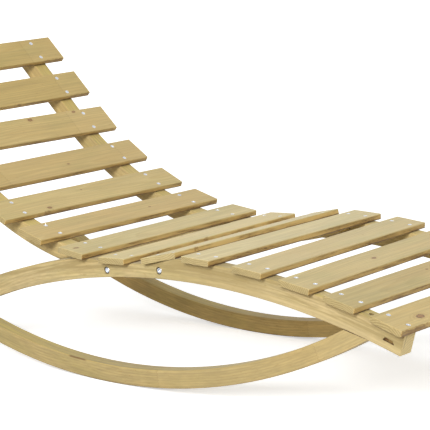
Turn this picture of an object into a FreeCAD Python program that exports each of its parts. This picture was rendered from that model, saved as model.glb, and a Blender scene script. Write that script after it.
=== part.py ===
import FreeCAD, Part
import math
import os

import Sketcher
from FreeCAD import Placement, Rotation, Vector

# A rocking lounger of softwood. Each side is a lens of two bent rails, a leg rail over a
# rocker, with a curved back rail bolted inside the leg rail. Fourteen slats tie the sides.
# X runs from the head end to the foot end, Y across from right to left, Z up.
# The rails are drawn with the rockers' lowest point at X = 0, Z = 0. At the end the whole
# lounger is rolled on its rockers into balance, with the origin under its middle.

SIZES = [
    ("slat_length", 600, "across the lounger"),
    ("slat_width", 80, "along the seat"),
    ("slat_thickness", 14, ""),
    ("slat_edge_radius", 3, "rounding of the long edges"),
    ("slat_overhang", 20, "slat end to the leg rail's outer face"),
    ("rail_thickness", 38, "every rail, across the lounger"),
    ("rail_chamfer", 2, "on the long edges"),
    ("rocker_radius", 1545, "sole of the rocker"),
    ("rocker_height", 41, ""),
    ("crest_x", 212, "highest point of the leg rail, ahead of the rockers' lowest point"),
    ("crest_height", 305, "highest point of the leg rail, above the floor"),
    ("leg_rail_radius", 1960, "top of the leg rail"),
    ("leg_rail_height", 48, ""),
    ("foot_overhang", 115, "along the leg rail's top, middle of the foot joint to the end"),
    ("tail_overhang", 195, "along the rocker's top, middle of the tail joint to the end"),
    ("seat_setback", 199, "crest to the lowest point of the seat curve, along X"),
    ("seat_drop", 24, "crest to the lowest point of the seat curve, along Z"),
    ("seat_radius", 847, "top of the back rail"),
    ("back_angle", 45, "slope of the straight upper back, in degrees"),
    ("back_rail_height", 42, ""),
    ("back_rail_head_run", 922, "along the seat curve, lowest point to head end"),
    ("back_rail_nose_run", 266, "along the seat curve, lowest point to front end"),
    ("screw_spread", 50, "between the two screws at one end of a slat"),
    ("seat_screw_inset", 41, "slat end to the screws that go into the leg rail"),
    ("back_screw_inset", 73, "slat end to the screws that go into the back rail"),
    ("screw_diameter", 4.5, "slat screws"),
    ("screw_length", 40, "slat screws, below the slat's top"),
    ("screw_head_diameter", 9, "slat screws"),
    ("screw_head_crown", 0.8, "rise of the raised head above the slat"),
    ("screw_fit", 0.1, "play round a screw, on the radius"),
    ("bolt_diameter", 8, ""),
    ("bolt_fit", 0.3, "play round a bolt, on the radius"),
    ("bolt_depth", 19.5, "bolt axis below the seat curve"),
    ("rear_bolt_station", -10, "along the seat curve from its lowest point"),
    ("front_bolt_station", 150, "along the seat curve from its lowest point"),
    ("bolt_head_diameter", 13, ""),
    ("bolt_head_height", 8, ""),
    ("bolt_chamfer", 0.8, "on the head and on the shank's end"),
    ("socket_width", 6, "hex socket, across flats"),
    ("socket_depth", 4, ""),
    ("washer_diameter", 16, ""),
    ("washer_thickness", 1.6, ""),
    ("nut_width", 13, "across flats"),
    ("nut_height", 6.5, ""),
    ("recess_diameter", 17, "counterbore round a bolt head or nut"),
    ("head_recess_depth", 11, ""),
    ("nut_recess_depth", 9.5, ""),
    ("joint_gap", 0.2, "glue line between rocker and leg rail"),
    ("joint_screw_diameter", 6, ""),
    ("joint_screw_length", 72, ""),
    ("joint_screw_head", 11, "head diameter"),
    ("joint_screw_recess", 8, "head below the rail's surface"),
    ("joint_screw_offset", 17, "along the rail, from the middle of the joint"),
    ("foot_screw_lean", 20, "from the leg rail's normal towards the rocker, in degrees"),
    ("tail_screw_lean", 30, "from the rocker's normal towards the leg rail, in degrees"),
]

# Sizes that follow from the others. The bow is the lens of leg rail and rocker.
DERIVED = [
    ("centres_rise", "=rocker_radius + leg_rail_radius - crest_height", "leg rail to rocker"),
    ("centres_gap", "=sqrt(crest_x ^ 2 + centres_rise ^ 2)", "leg rail to rocker"),
    ("under_radius", "=leg_rail_radius - leg_rail_height", "underside of the leg rail"),
    ("leg_mid_radius", "=leg_rail_radius - leg_rail_height / 2", "middle of the leg rail"),
    ("rocker_mid_radius", "=rocker_radius - rocker_height / 2", "middle of the rocker"),
    ("rocker_top_radius", "=rocker_radius - rocker_height", "top of the rocker"),
    ("bow_lean", "=atan2(-crest_x; centres_rise)", "from the upright"),
    ("foot_half_angle", "=acos((under_radius ^ 2 + centres_gap ^ 2 - rocker_mid_radius ^ 2)"
     " / (2 * under_radius * centres_gap))", "bow's middle to foot joint, about the leg rail's centre"),
    ("tail_half_angle", "=acos((rocker_top_radius ^ 2 + centres_gap ^ 2 - leg_mid_radius ^ 2)"
     " / (2 * rocker_top_radius * centres_gap))", "bow's middle to tail joint, about the rocker's centre"),
    ("foot_joint_run", "=(foot_half_angle + bow_lean) / 1rad * leg_rail_radius",
     "along the leg rail's top, crest to the middle of the foot joint"),
    ("tail_joint_run", "=(tail_half_angle + bow_lean) / 1rad * rocker_top_radius",
     "along the rocker's top, lowest point to the middle of the tail joint"),
]

# Places of the slats, as distances along the curve that they lie on, positive towards the
# foot. Back and seat slats are measured from the lowest point of the seat curve, leg slats
# from the middle of the foot joint. The second number is how far the slat is askew.
BACK_SLATS = [(-885, 0), (-757, 0), (-633, -1.1), (-498, -0.3), (-366, -0.7), (-240, -0.7), (-106, -0.3)]
SEAT_SLATS = [(24, 0.3), (161, 0)]
LEG_SLATS = [(-427, -0.4), (-292, 1.4), (-165, 1.6), (-42, 0.5), (80, 0)]

SOFTWOOD_DENSITY = 5.2e-7
STEEL_DENSITY = 7.85e-6
RIGHT, LEFT = -1, 1
HEADWARD, FOOTWARD = -1, 1

doc = FreeCAD.newDocument("rocking_lounger")
sheet = doc.addObject("Spreadsheet::Sheet", "sizes")


def fill_sheet():
    """Write every driving dimension into its own named cell."""
    rows = SIZES + DERIVED
    for group, places in (("back", BACK_SLATS), ("seat", SEAT_SLATS), ("leg", LEG_SLATS)):
        for number, (station, skew) in enumerate(places, 1):
            rows.append((f"{group}_slat_{number}_station", station, "along the curve"))
            rows.append((f"{group}_slat_{number}_skew", skew, "degrees askew on the rails"))
    for row, (alias, number, meaning) in enumerate(rows, 1):
        sheet.set(f"A{row}", alias)
        sheet.set(f"B{row}", str(number))
        sheet.setAlias(f"B{row}", alias)
        sheet.set(f"C{row}", meaning)
    doc.recompute()


def size(alias):
    return float(getattr(sheet, alias))


# Curves of the seat

def seat_centre():
    x = size("crest_x") - size("seat_setback")
    z = size("crest_height") - size("seat_drop") + size("seat_radius")
    return x, z


def leg_centre():
    return size("crest_x"), size("crest_height") - size("leg_rail_radius")


def rocker_centre():
    return 0.0, size("rocker_radius")


def seat_point(station, depth=0.0):
    """Point on the seat curve, or depth below it, and the slope there in radians."""
    radius = size("seat_radius")
    steepest = math.radians(size("back_angle"))
    angle = max(station / radius, -steepest)
    straight = min(station + radius * steepest, 0.0)
    x, z = seat_centre()
    x += (radius + depth) * math.sin(angle) + straight * math.cos(angle)
    z += -(radius + depth) * math.cos(angle) + straight * math.sin(angle)
    return x, z, angle


def leg_point(station, depth=0.0):
    """Point on the leg rail's top, or depth below it, and the slope there in radians."""
    radius = size("leg_rail_radius")
    angle = station / radius
    x, z = leg_centre()
    x += (radius - depth) * math.sin(angle)
    z += (radius - depth) * math.cos(angle)
    return x, z, -angle


def rocker_point(run, depth=0.0):
    """Point on the rocker's top, or depth below it, and the slope there in radians."""
    radius = size("rocker_top_radius")
    angle = run / radius
    x = (radius + depth) * math.sin(angle)
    z = size("rocker_radius") - (radius + depth) * math.cos(angle)
    return x, z, angle


def crossing(first, first_radius, second, second_radius, side):
    """Where two circles cross: the headward (side -1) or footward (side 1) point."""
    dx, dz = second[0] - first[0], second[1] - first[1]
    gap = math.hypot(dx, dz)
    along = (first_radius ** 2 - second_radius ** 2 + gap ** 2) / (2 * gap)
    across = math.sqrt(first_radius ** 2 - along ** 2)
    points = []
    for sign in (-1, 1):
        x = first[0] + (along * dx - sign * across * dz) / gap
        z = first[1] + (along * dz + sign * across * dx) / gap
        points.append((x, z))
    return sorted(points)[0 if side < 0 else 1]


def leg_rail_y():
    """Distance from the middle plane to the middle of a leg rail or rocker."""
    return size("slat_length") / 2 - size("slat_overhang") - size("rail_thickness") / 2


def back_rail_y():
    return leg_rail_y() - size("rail_thickness")


# Sketching helpers

def new_body(label):
    body = doc.addObject("PartDesign::Body", label)
    body.Label = label
    return body


def new_sketch(body, plane, name, offset=None):
    """Empty sketch on one of the body's own planes, moved along its normal by a formula."""
    sketch = body.newObject("Sketcher::SketchObject", name)
    planes = [item for item in body.Origin.OriginFeatures if item.Role == plane]
    sketch.AttachmentSupport = [(planes[0], "")]
    sketch.MapMode = "FlatFace"
    if offset:
        sketch.setExpression("AttachmentOffset.Base.z", offset)
    return sketch


def bind(sketch, name, constraint, formula):
    """Add a dimension to a sketch and tie it to the sheet."""
    sketch.addConstraint(constraint)
    sketch.renameConstraint(sketch.ConstraintCount - 1, name)
    sketch.setExpression("Constraints." + name, formula)


def join(sketch, *corners):
    for first, first_end, second, second_end in corners:
        sketch.addConstraint(Sketcher.Constraint("Coincident", first, first_end, second, second_end))


def arc(centre, radius, start, end):
    """Arc about a centre, counterclockwise from one (x, z) point to the other."""
    angles = [math.atan2(point[1] - centre[1], point[0] - centre[0]) for point in (start, end)]
    if angles[1] < angles[0]:
        angles[1] += 2 * math.pi
    circle = Part.Circle(Vector(centre[0], centre[1], 0), Vector(0, 0, 1), radius)
    return Part.ArcOfCircle(circle, *angles)


def line(start, end):
    return Part.LineSegment(Vector(start[0], start[1], 0), Vector(end[0], end[1], 0))


def radius_of(sketch, name, edge, formula):
    bind(sketch, name, Sketcher.Constraint("Radius", edge, sketch.Geometry[edge].Radius), formula)


def pin_seat_centre(sketch, edge):
    x, z = seat_centre()
    bind(sketch, f"seat_x_{edge}", Sketcher.Constraint("DistanceX", -1, 1, edge, 3, x),
         "sizes.crest_x - sizes.seat_setback")
    bind(sketch, f"seat_z_{edge}", Sketcher.Constraint("DistanceY", -1, 1, edge, 3, z),
         "sizes.crest_height - sizes.seat_drop + sizes.seat_radius")


def pin_leg_centre(sketch, edge):
    x, z = leg_centre()
    bind(sketch, f"leg_x_{edge}", Sketcher.Constraint("DistanceX", -1, 1, edge, 3, x),
         "sizes.crest_x")
    bind(sketch, f"leg_z_{edge}", Sketcher.Constraint("DistanceY", edge, 3, -1, 1, -z),
         "sizes.leg_rail_radius - sizes.crest_height")


def pin_rocker_centre(sketch, edge):
    sketch.addConstraint(Sketcher.Constraint("PointOnObject", edge, 3, -2))
    bind(sketch, f"rocker_z_{edge}",
         Sketcher.Constraint("DistanceY", -1, 1, edge, 3, size("rocker_radius")),
         "sizes.rocker_radius")


def solid_added(body, feature, check):
    """Recompute and make sure that the last feature changed the volume as it should."""
    body.Tip = feature
    doc.recompute()
    before = feature.BaseFeature.Shape.Volume if feature.BaseFeature else 0.0
    if not check(before, feature.Shape.Volume):
        raise RuntimeError(f"{body.Label}: {feature.Name} did not change the solid")
    return feature


def added(before, after):
    return after > before + 1


def removed(before, after):
    return after < before - 0.1


def pad_both_ways(body, sketch, thickness):
    pad = body.newObject("PartDesign::Pad", "pad")
    pad.Profile = sketch
    pad.Midplane = True
    pad.setExpression("Length", thickness)
    return solid_added(body, pad, added)


def cut_through(body, sketch, name):
    pocket = body.newObject("PartDesign::Pocket", name)
    pocket.Profile = sketch
    pocket.Type = "ThroughAll"
    pocket.Midplane = True
    return solid_added(body, pocket, removed)


def dress_edges(body, feature, kind, chosen, dimension, formula):
    """Fillet (by its Radius) or chamfer (by its Size) the chosen edges of a feature."""
    names = [f"Edge{i}" for i, edge in enumerate(feature.Shape.Edges, 1) if chosen(edge)]
    dressing = body.newObject("PartDesign::" + kind, kind.lower())
    dressing.Base = (feature, names)
    dressing.setExpression(dimension, formula)
    return solid_added(body, dressing, removed)


def along_rail(edge):
    """True for the long edges of a rail: those that keep to one side face."""
    flat = edge.BoundBox.YLength < 0.01
    return flat and edge.Length > 2 * size("leg_rail_height")


# Bolt holes

def bolt_axis(station_name):
    x, z, _ = seat_point(size(station_name), size("bolt_depth"))
    return x, z


def draw_bolt_circles(sketch, diameter):
    """One circle about each of the two bolts, in a sketch on the XZ plane."""
    for index, station in enumerate(("rear_bolt_station", "front_bolt_station")):
        x, z = bolt_axis(station)
        radius = size("bolt_diameter")
        sketch.addGeometry(Part.Circle(Vector(x, z, 0), Vector(0, 0, 1), radius))
        reach = "(sizes.seat_radius + sizes.bolt_depth)"
        turn = f"sizes.{station} / sizes.seat_radius * 1rad"
        bind(sketch, f"bolt_x_{index}", Sketcher.Constraint("DistanceX", -1, 1, index, 3, x),
             f"sizes.crest_x - sizes.seat_setback + {reach} * sin({turn})")
        bind(sketch, f"bolt_z_{index}", Sketcher.Constraint("DistanceY", -1, 1, index, 3, z),
             "sizes.crest_height - sizes.seat_drop + sizes.seat_radius"
             f" - {reach} * cos({turn})")
        radius_of(sketch, f"bolt_radius_{index}", index, diameter)


def drill_for_bolts(body, recess_side, recess_depth):
    """Bolt holes through a rail, with a recess from the face on the given side."""
    holes = new_sketch(body, "XZ_Plane", "bolt_holes")
    draw_bolt_circles(holes, "sizes.bolt_diameter / 2 + sizes.bolt_fit")
    cut_through(body, holes, "bolt_bores")
    # The plane's normal points to the right, so a recess from the left is turned round.
    offset = f"{-recess_side} * sizes.rail_thickness / 2"
    mouths = new_sketch(body, "XZ_Plane", "recess_mouths", offset)
    draw_bolt_circles(mouths, "sizes.recess_diameter / 2")
    recess = body.newObject("PartDesign::Pocket", "bolt_recesses")
    recess.Profile = mouths
    recess.Reversed = recess_side == LEFT
    recess.setExpression("Length", recess_depth)
    solid_added(body, recess, removed)


# Rails

def make_leg_rail(side):
    """Upper rail of one side: arched, its tail ending on the rocker, hollowed for the seat."""
    body = new_body("leg_rail_blank")
    sketch = new_sketch(body, "XZ_Plane", "arch")
    radius, depth = size("leg_rail_radius"), size("leg_rail_height")
    rest_radius = size("rocker_top_radius") - size("joint_gap")
    foot_run = size("foot_joint_run") + size("foot_overhang")
    foot, foot_low = leg_point(foot_run)[:2], leg_point(foot_run, depth)[:2]
    tail = crossing(leg_centre(), radius, rocker_centre(), rest_radius, HEADWARD)
    tail_low = crossing(leg_centre(), radius - depth, rocker_centre(), rest_radius, HEADWARD)
    sketch.addGeometry([
        arc(leg_centre(), radius, foot, tail),
        arc(leg_centre(), radius - depth, foot_low, tail_low),
        line(foot, foot_low),
        arc(rocker_centre(), rest_radius, tail, tail_low),
    ])
    join(sketch, (0, 1, 2, 1), (1, 1, 2, 2), (0, 2, 3, 1), (1, 2, 3, 2), (0, 3, 1, 3))
    pin_leg_centre(sketch, 0)
    pin_rocker_centre(sketch, 3)
    radius_of(sketch, "top_radius", 0, "sizes.leg_rail_radius")
    radius_of(sketch, "low_radius", 1, "sizes.under_radius")
    radius_of(sketch, "tail_radius", 3, "sizes.rocker_top_radius - sizes.joint_gap")
    sketch.addConstraint(Sketcher.Constraint("PointOnObject", 0, 3, 2))
    bind(sketch, "foot_reach",
         Sketcher.Constraint("DistanceX", 0, 3, 0, 1, foot[0] - leg_centre()[0]),
         "sizes.leg_rail_radius"
         " * sin((sizes.foot_joint_run + sizes.foot_overhang) / sizes.leg_rail_radius * 1rad)")
    pad = pad_both_ways(body, sketch, "sizes.rail_thickness")
    dress_edges(body, pad, "Chamfer", along_rail, "Size", "sizes.rail_chamfer")
    hollow = new_sketch(body, "XZ_Plane", "seat_hollow")
    x, z = seat_centre()
    hollow.addGeometry(Part.Circle(Vector(x, z, 0), Vector(0, 0, 1), size("seat_radius")))
    pin_seat_centre(hollow, 0)
    radius_of(hollow, "hollow_radius", 0, "sizes.seat_radius")
    cut_through(body, hollow, "seat_bed")
    drill_for_bolts(body, side, "sizes.head_recess_depth")
    return body


def make_rocker():
    """Lower rail of one side: bowed, its foot end cut where it meets the leg rail."""
    body = new_body("rocker_blank")
    sketch = new_sketch(body, "XZ_Plane", "bow")
    radius, depth = size("rocker_top_radius"), size("rocker_height")
    rest_radius = size("under_radius") - size("joint_gap")
    tail_run = -size("tail_joint_run") - size("tail_overhang")
    tail, tail_low = rocker_point(tail_run)[:2], rocker_point(tail_run, depth)[:2]
    foot = crossing(rocker_centre(), radius, leg_centre(), rest_radius, FOOTWARD)
    foot_low = crossing(rocker_centre(), radius + depth, leg_centre(), rest_radius, FOOTWARD)
    sketch.addGeometry([
        arc(rocker_centre(), radius + depth, tail_low, foot_low),
        arc(rocker_centre(), radius, tail, foot),
        line(tail_low, tail),
        arc(leg_centre(), rest_radius, foot_low, foot),
    ])
    join(sketch, (0, 1, 2, 1), (1, 1, 2, 2), (0, 2, 3, 1), (1, 2, 3, 2), (0, 3, 1, 3))
    pin_rocker_centre(sketch, 0)
    pin_leg_centre(sketch, 3)
    radius_of(sketch, "sole_radius", 0, "sizes.rocker_radius")
    radius_of(sketch, "top_radius", 1, "sizes.rocker_top_radius")
    radius_of(sketch, "foot_radius", 3, "sizes.under_radius - sizes.joint_gap")
    sketch.addConstraint(Sketcher.Constraint("PointOnObject", 0, 3, 2))
    bind(sketch, "tail_reach", Sketcher.Constraint("DistanceX", 1, 1, 1, 3, -tail[0]),
         "sizes.rocker_top_radius"
         " * sin((sizes.tail_joint_run + sizes.tail_overhang) / sizes.rocker_top_radius * 1rad)")
    pad = pad_both_ways(body, sketch, "sizes.rail_thickness")
    dress_edges(body, pad, "Chamfer", along_rail, "Size", "sizes.rail_chamfer")
    return body


def make_back_rail(side):
    """Inner rail of one side: curved under the seat, straight behind the upper back."""
    body = new_body("back_rail_blank")
    sketch = new_sketch(body, "XZ_Plane", "back_curve")
    centre, radius, depth = seat_centre(), size("seat_radius"), size("back_rail_height")
    bend = -radius * math.radians(size("back_angle"))
    head_run, nose_run = -size("back_rail_head_run"), size("back_rail_nose_run")
    head, head_low = seat_point(head_run)[:2], seat_point(head_run, depth)[:2]
    bend_top, bend_low = seat_point(bend)[:2], seat_point(bend, depth)[:2]
    nose_low = seat_point(nose_run, depth)[:2]
    brow = crossing(centre, radius, leg_centre(), size("leg_rail_radius"), FOOTWARD)
    nose_x = seat_point(nose_run)[0]
    leg_x, leg_z = leg_centre()
    rise = math.sqrt(size("leg_rail_radius") ** 2 - (nose_x - leg_x) ** 2)
    nose_top = (nose_x, leg_z + rise)
    sketch.addGeometry([
        arc(centre, radius, bend_top, brow),
        arc(leg_centre(), size("leg_rail_radius"), nose_top, brow),
        line(nose_top, nose_low),
        arc(centre, radius + depth, bend_low, nose_low),
        line(bend_low, head_low),
        line(head_low, head),
        line(bend_top, head),
    ])
    join(sketch, (0, 2, 1, 2), (1, 1, 2, 1), (2, 2, 3, 2), (4, 2, 5, 1), (5, 2, 6, 2), (0, 3, 3, 3))
    sketch.addConstraint([
        Sketcher.Constraint("Tangent", 6, 1, 0, 1),
        Sketcher.Constraint("Tangent", 4, 1, 3, 1),
        Sketcher.Constraint("Parallel", 4, 6),
        Sketcher.Constraint("Perpendicular", 5, 6),
        Sketcher.Constraint("PointOnObject", 0, 3, 2),
    ])
    pin_seat_centre(sketch, 0)
    radius_of(sketch, "top_radius", 0, "sizes.seat_radius")
    radius_of(sketch, "under_radius", 3, "sizes.seat_radius + sizes.back_rail_height")
    pin_leg_centre(sketch, 1)
    radius_of(sketch, "nose_radius", 1, "sizes.leg_rail_radius")
    bind(sketch, "nose_reach",
         Sketcher.Constraint("DistanceX", 0, 3, 3, 2, nose_low[0] - centre[0]),
         "(sizes.seat_radius + sizes.back_rail_height)"
         " * sin(sizes.back_rail_nose_run / sizes.seat_radius * 1rad)")
    bind(sketch, "bend_reach",
         Sketcher.Constraint("DistanceX", 0, 1, 0, 3, centre[0] - bend_top[0]),
         "sizes.seat_radius * sin(sizes.back_angle * 1deg)")
    bind(sketch, "straight_run",
         Sketcher.Constraint("Distance", 6, 1, 6, 2, bend - head_run),
         "sizes.back_rail_head_run - sizes.seat_radius * sizes.back_angle * pi / 180")
    pad = pad_both_ways(body, sketch, "sizes.rail_thickness")
    dress_edges(body, pad, "Chamfer", along_rail, "Size", "sizes.rail_chamfer")
    drill_for_bolts(body, -side, "sizes.nut_recess_depth")
    return body


# Slats

def draw_screw_circles(sketch, inset):
    """Four screw places on a slat: two at each end."""
    places = [(x, y) for x in (-1, 1) for y in (-1, 1)]
    for index, (x_side, y_side) in enumerate(places):
        x = size("screw_spread") / 2
        y = size("slat_length") / 2 - size(inset)
        centre = Vector(x_side * x, y_side * y, 0)
        sketch.addGeometry(Part.Circle(centre, Vector(0, 0, 1), size("screw_diameter") / 2))
        across = (-1, 1, index, 3) if x_side > 0 else (index, 3, -1, 1)
        upward = (-1, 1, index, 3) if y_side > 0 else (index, 3, -1, 1)
        bind(sketch, f"screw_x_{index}", Sketcher.Constraint("DistanceX", *across, x),
             "sizes.screw_spread / 2")
        bind(sketch, f"screw_y_{index}", Sketcher.Constraint("DistanceY", *upward, y),
             f"sizes.slat_length / 2 - sizes.{inset}")
        radius_of(sketch, f"screw_radius_{index}", index,
                  "sizes.screw_diameter / 2 + sizes.screw_fit")


def make_slat(label, inset):
    """Board with rounded long edges and four countersunk screw holes, lying on Z = 0."""
    body = new_body(label)
    sketch = new_sketch(body, "XZ_Plane", "section")
    half, thickness = size("slat_width") / 2, size("slat_thickness")
    corners = [(-half, 0), (half, 0), (half, thickness), (-half, thickness)]
    sketch.addGeometry([line(corners[i], corners[(i + 1) % 4]) for i in range(4)])
    join(sketch, (0, 2, 1, 1), (1, 2, 2, 1), (2, 2, 3, 1), (3, 2, 0, 1))
    sketch.addConstraint([
        Sketcher.Constraint("Vertical", 1),
        Sketcher.Constraint("Vertical", 3),
        Sketcher.Constraint("Horizontal", 2),
        Sketcher.Constraint("PointOnObject", 0, 1, -1),
        Sketcher.Constraint("Symmetric", 0, 1, 0, 2, -1, 1),
    ])
    bind(sketch, "width", Sketcher.Constraint("DistanceX", 0, 1, 0, 2, 2 * half),
         "sizes.slat_width")
    bind(sketch, "thickness", Sketcher.Constraint("DistanceY", 1, 1, 1, 2, thickness),
         "sizes.slat_thickness")
    pad = pad_both_ways(body, sketch, "sizes.slat_length")
    dress_edges(body, pad, "Fillet", along_slat, "Radius", "sizes.slat_edge_radius")
    holes = new_sketch(body, "XY_Plane", "screw_places", "sizes.slat_thickness")
    draw_screw_circles(holes, inset)
    cut = cut_through(body, holes, "screw_holes")
    dress_edges(body, cut, "Chamfer", upper_rim, "Size",
                "(sizes.screw_head_diameter - sizes.screw_diameter) / 2")
    return body


def along_slat(edge):
    return edge.BoundBox.YLength > size("slat_length") / 2


def upper_rim(edge):
    """True for the round rims of the screw holes on a slat's top."""
    box = edge.BoundBox
    on_top = box.ZMin > size("slat_thickness") - 0.01
    return on_top and edge.Curve.TypeId == "Part::GeomCircle"


def bed_gap(skew):
    """How far a flat slat stays off the lowest line of the hollow curve it spans."""
    rail_y = size("slat_length") / 2 - size("slat_overhang")
    flat = size("slat_width") / 2 - size("slat_edge_radius")
    flat += abs(math.tan(math.radians(skew))) * rail_y
    return size("seat_radius") - math.sqrt(size("seat_radius") ** 2 - flat ** 2)


def turned(x, z, slope, y=0.0):
    """Placement at (x, y, z), turned about Y so that local X climbs by the slope."""
    return Placement(Vector(x, y, z), Rotation(Vector(0, 1, 0), -math.degrees(slope)))


def slat_place(group, number):
    """Placement of a slat's underside on its rails."""
    station = size(f"{group}_slat_{number}_station")
    skew = size(f"{group}_slat_{number}_skew")
    if group == "leg":
        place = turned(*leg_point(size("foot_joint_run") + station))
    else:
        place = turned(*seat_point(station, -bed_gap(skew)))
    return place.multiply(Placement(Vector(), Rotation(Vector(0, 0, 1), skew)))


# Fasteners

def make_revolved(label, outline):
    """Solid of revolution about Z. Each point of the outline is an (r, z) pair of formulas."""
    body = new_body(label)
    sketch = new_sketch(body, "XZ_Plane", "outline")
    numbers = [(sheet.evalExpression(radius), sheet.evalExpression(height)) for radius, height in outline]
    count = len(outline)
    sketch.addGeometry([line(numbers[i], numbers[(i + 1) % count]) for i in range(count)])
    join(sketch, *[(i, 2, (i + 1) % count, 1) for i in range(count)])
    for i, (radius, height) in enumerate(outline):
        place_point(sketch, f"r{i}", "DistanceX", i, numbers[i][0], radius)
        place_point(sketch, f"z{i}", "DistanceY", i, numbers[i][1], height)
    turning = body.newObject("PartDesign::Revolution", "turning")
    turning.Profile = sketch
    turning.ReferenceAxis = (sketch, ["V_Axis"])
    turning.Angle = 360
    solid_added(body, turning, added)
    return body


def place_point(sketch, name, kind, edge, number, formula):
    """Tie the start of an edge to the sheet, on an axis where its number is nought."""
    if abs(number) < 1e-9:
        axis = -2 if kind == "DistanceX" else -1
        sketch.addConstraint(Sketcher.Constraint("PointOnObject", edge, 1, axis))
    elif number > 0:
        bind(sketch, name, Sketcher.Constraint(kind, -1, 1, edge, 1, number), formula)
    else:
        bind(sketch, name, Sketcher.Constraint(kind, edge, 1, -1, 1, -number), f"-({formula})")


def cut_hexagon(body, width, depth, from_z):
    """Hexagonal pocket downwards from a height, across flats by a formula."""
    sketch = new_sketch(body, "XY_Plane", "hexagon", from_z)
    hexagon(sketch, width)
    pocket = body.newObject("PartDesign::Pocket", "socket")
    pocket.Profile = sketch
    pocket.setExpression("Length", depth)
    solid_added(body, pocket, removed)


def hexagon(sketch, width):
    flats = sheet.evalExpression(width)
    corner = flats / math.sqrt(3)
    points = [(corner * math.cos(math.radians(60 * i)), corner * math.sin(math.radians(60 * i)))
              for i in range(6)]
    sketch.addGeometry([line(points[i], points[(i + 1) % 6]) for i in range(6)])
    guide = Part.Circle(Vector(), Vector(0, 0, 1), corner)
    sketch.addGeometry(guide, True)
    join(sketch, *[(i, 2, (i + 1) % 6, 1) for i in range(6)])
    join(sketch, (6, 3, -1, 1))
    for i in range(6):
        sketch.addConstraint(Sketcher.Constraint("PointOnObject", i, 1, 6))
    for i in range(5):
        sketch.addConstraint(Sketcher.Constraint("Equal", i, i + 1))
    sketch.addConstraint(Sketcher.Constraint("Horizontal", 1))
    radius_of(sketch, "corner_radius", 6, f"({width}) / sqrt(3)")


def make_slat_screw():
    """Raised countersunk wood screw, its seat at Z = 0 and its point downwards."""
    head, shank = "sizes.screw_head_diameter / 2", "sizes.screw_diameter / 2"
    return make_revolved("slat_screw", [
        ("0", "sizes.screw_head_crown"),
        (f"{head} * 0.55", "sizes.screw_head_crown * 0.7"),
        (head, "0"),
        (shank, f"-({head} - {shank})"),
        (shank, "-sizes.screw_length + sizes.screw_diameter"),
        ("0", "-sizes.screw_length"),
    ])


def make_joint_screw():
    """Long screw that holds a rocker's end to the leg rail, its head's top at Z = 0."""
    head, shank = "sizes.joint_screw_head / 2", "sizes.joint_screw_diameter / 2"
    return make_revolved("joint_screw", [
        ("0", "0"),
        (head, "0"),
        (shank, f"-({head} - {shank})"),
        (shank, "-sizes.joint_screw_length + sizes.joint_screw_diameter"),
        ("0", "-sizes.joint_screw_length"),
    ])


def make_bolt():
    """Socket head bolt along Z, its head above Z = 0 and its shank below."""
    head, shank = "sizes.bolt_head_diameter / 2", "sizes.bolt_diameter / 2"
    length = ("(2 * sizes.rail_thickness - sizes.head_recess_depth - sizes.nut_recess_depth"
              " + 2 * sizes.washer_thickness + sizes.nut_height)")
    bolt = make_revolved("bolt", [
        ("0", "sizes.bolt_head_height"),
        (f"{head} - sizes.bolt_chamfer", "sizes.bolt_head_height"),
        (head, "sizes.bolt_head_height - sizes.bolt_chamfer"),
        (head, "0"),
        (shank, "0"),
        (shank, f"-{length} + sizes.bolt_chamfer"),
        (f"{shank} - sizes.bolt_chamfer", f"-{length}"),
        ("0", f"-{length}"),
    ])
    cut_hexagon(bolt, "sizes.socket_width", "sizes.socket_depth", "sizes.bolt_head_height")
    return bolt


def make_washer():
    """Flat washer on Z = 0."""
    bore, rim = "sizes.bolt_diameter / 2 + sizes.bolt_fit", "sizes.washer_diameter / 2"
    return make_revolved("washer", [
        (bore, "0"), (rim, "0"), (rim, "sizes.washer_thickness"), (bore, "sizes.washer_thickness"),
    ])


def make_nut():
    """Hexagon nut on Z = 0, with a plain bore that just clears the bolt."""
    body = new_body("nut")
    sketch = new_sketch(body, "XY_Plane", "hexagon")
    hexagon(sketch, "sizes.nut_width")
    bore = Part.Circle(Vector(), Vector(0, 0, 1), size("bolt_diameter") / 2)
    sketch.addGeometry(bore)
    join(sketch, (7, 3, -1, 1))
    radius_of(sketch, "bore_radius", 7, "sizes.bolt_diameter / 2 + sizes.screw_fit")
    pad = body.newObject("PartDesign::Pad", "pad")
    pad.Profile = sketch
    pad.setExpression("Length", "sizes.nut_height")
    solid_added(body, pad, added)
    return body


def group(label, original, places):
    """Identical fasteners as one object: a copy of the original at each place."""
    copies = []
    for place in places:
        copy = original.Shape.copy()
        copy.Placement = place.multiply(copy.Placement)
        copies.append(copy)
    feature = doc.addObject("Part::Feature", label)
    feature.Label = label
    feature.Shape = Part.makeCompound(copies)
    return feature


def screw_places(group_name, numbers, inset):
    """Placements of the screws of some slats, on the slats' tops."""
    places = []
    x, y = size("screw_spread") / 2, size("slat_length") / 2 - size(inset)
    for number in numbers:
        slat = slat_place(group_name, number)
        for x_side in (-1, 1):
            for y_side in (-1, 1):
                seat = Vector(x_side * x, y_side * y, size("slat_thickness"))
                places.append(slat.multiply(Placement(seat, Rotation())))
    return places


def joint_screw_places():
    """Across each joint, from the rail that runs on into the end of the other one."""
    x, z, slope = leg_point(size("foot_joint_run") + size("joint_screw_offset"))
    entries = [(x, z, slope - math.radians(size("foot_screw_lean")))]
    tail_run = -size("tail_joint_run") - size("joint_screw_offset")
    x, z, slope = rocker_point(tail_run, size("rocker_height"))
    entries.append((x, z, slope - math.radians(size("tail_screw_lean")) + math.pi))
    sunk = Placement(Vector(0, 0, -size("joint_screw_recess")), Rotation())
    return [turned(*entry, side * leg_rail_y()).multiply(sunk)
            for entry in entries for side in (RIGHT, LEFT)]


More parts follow.
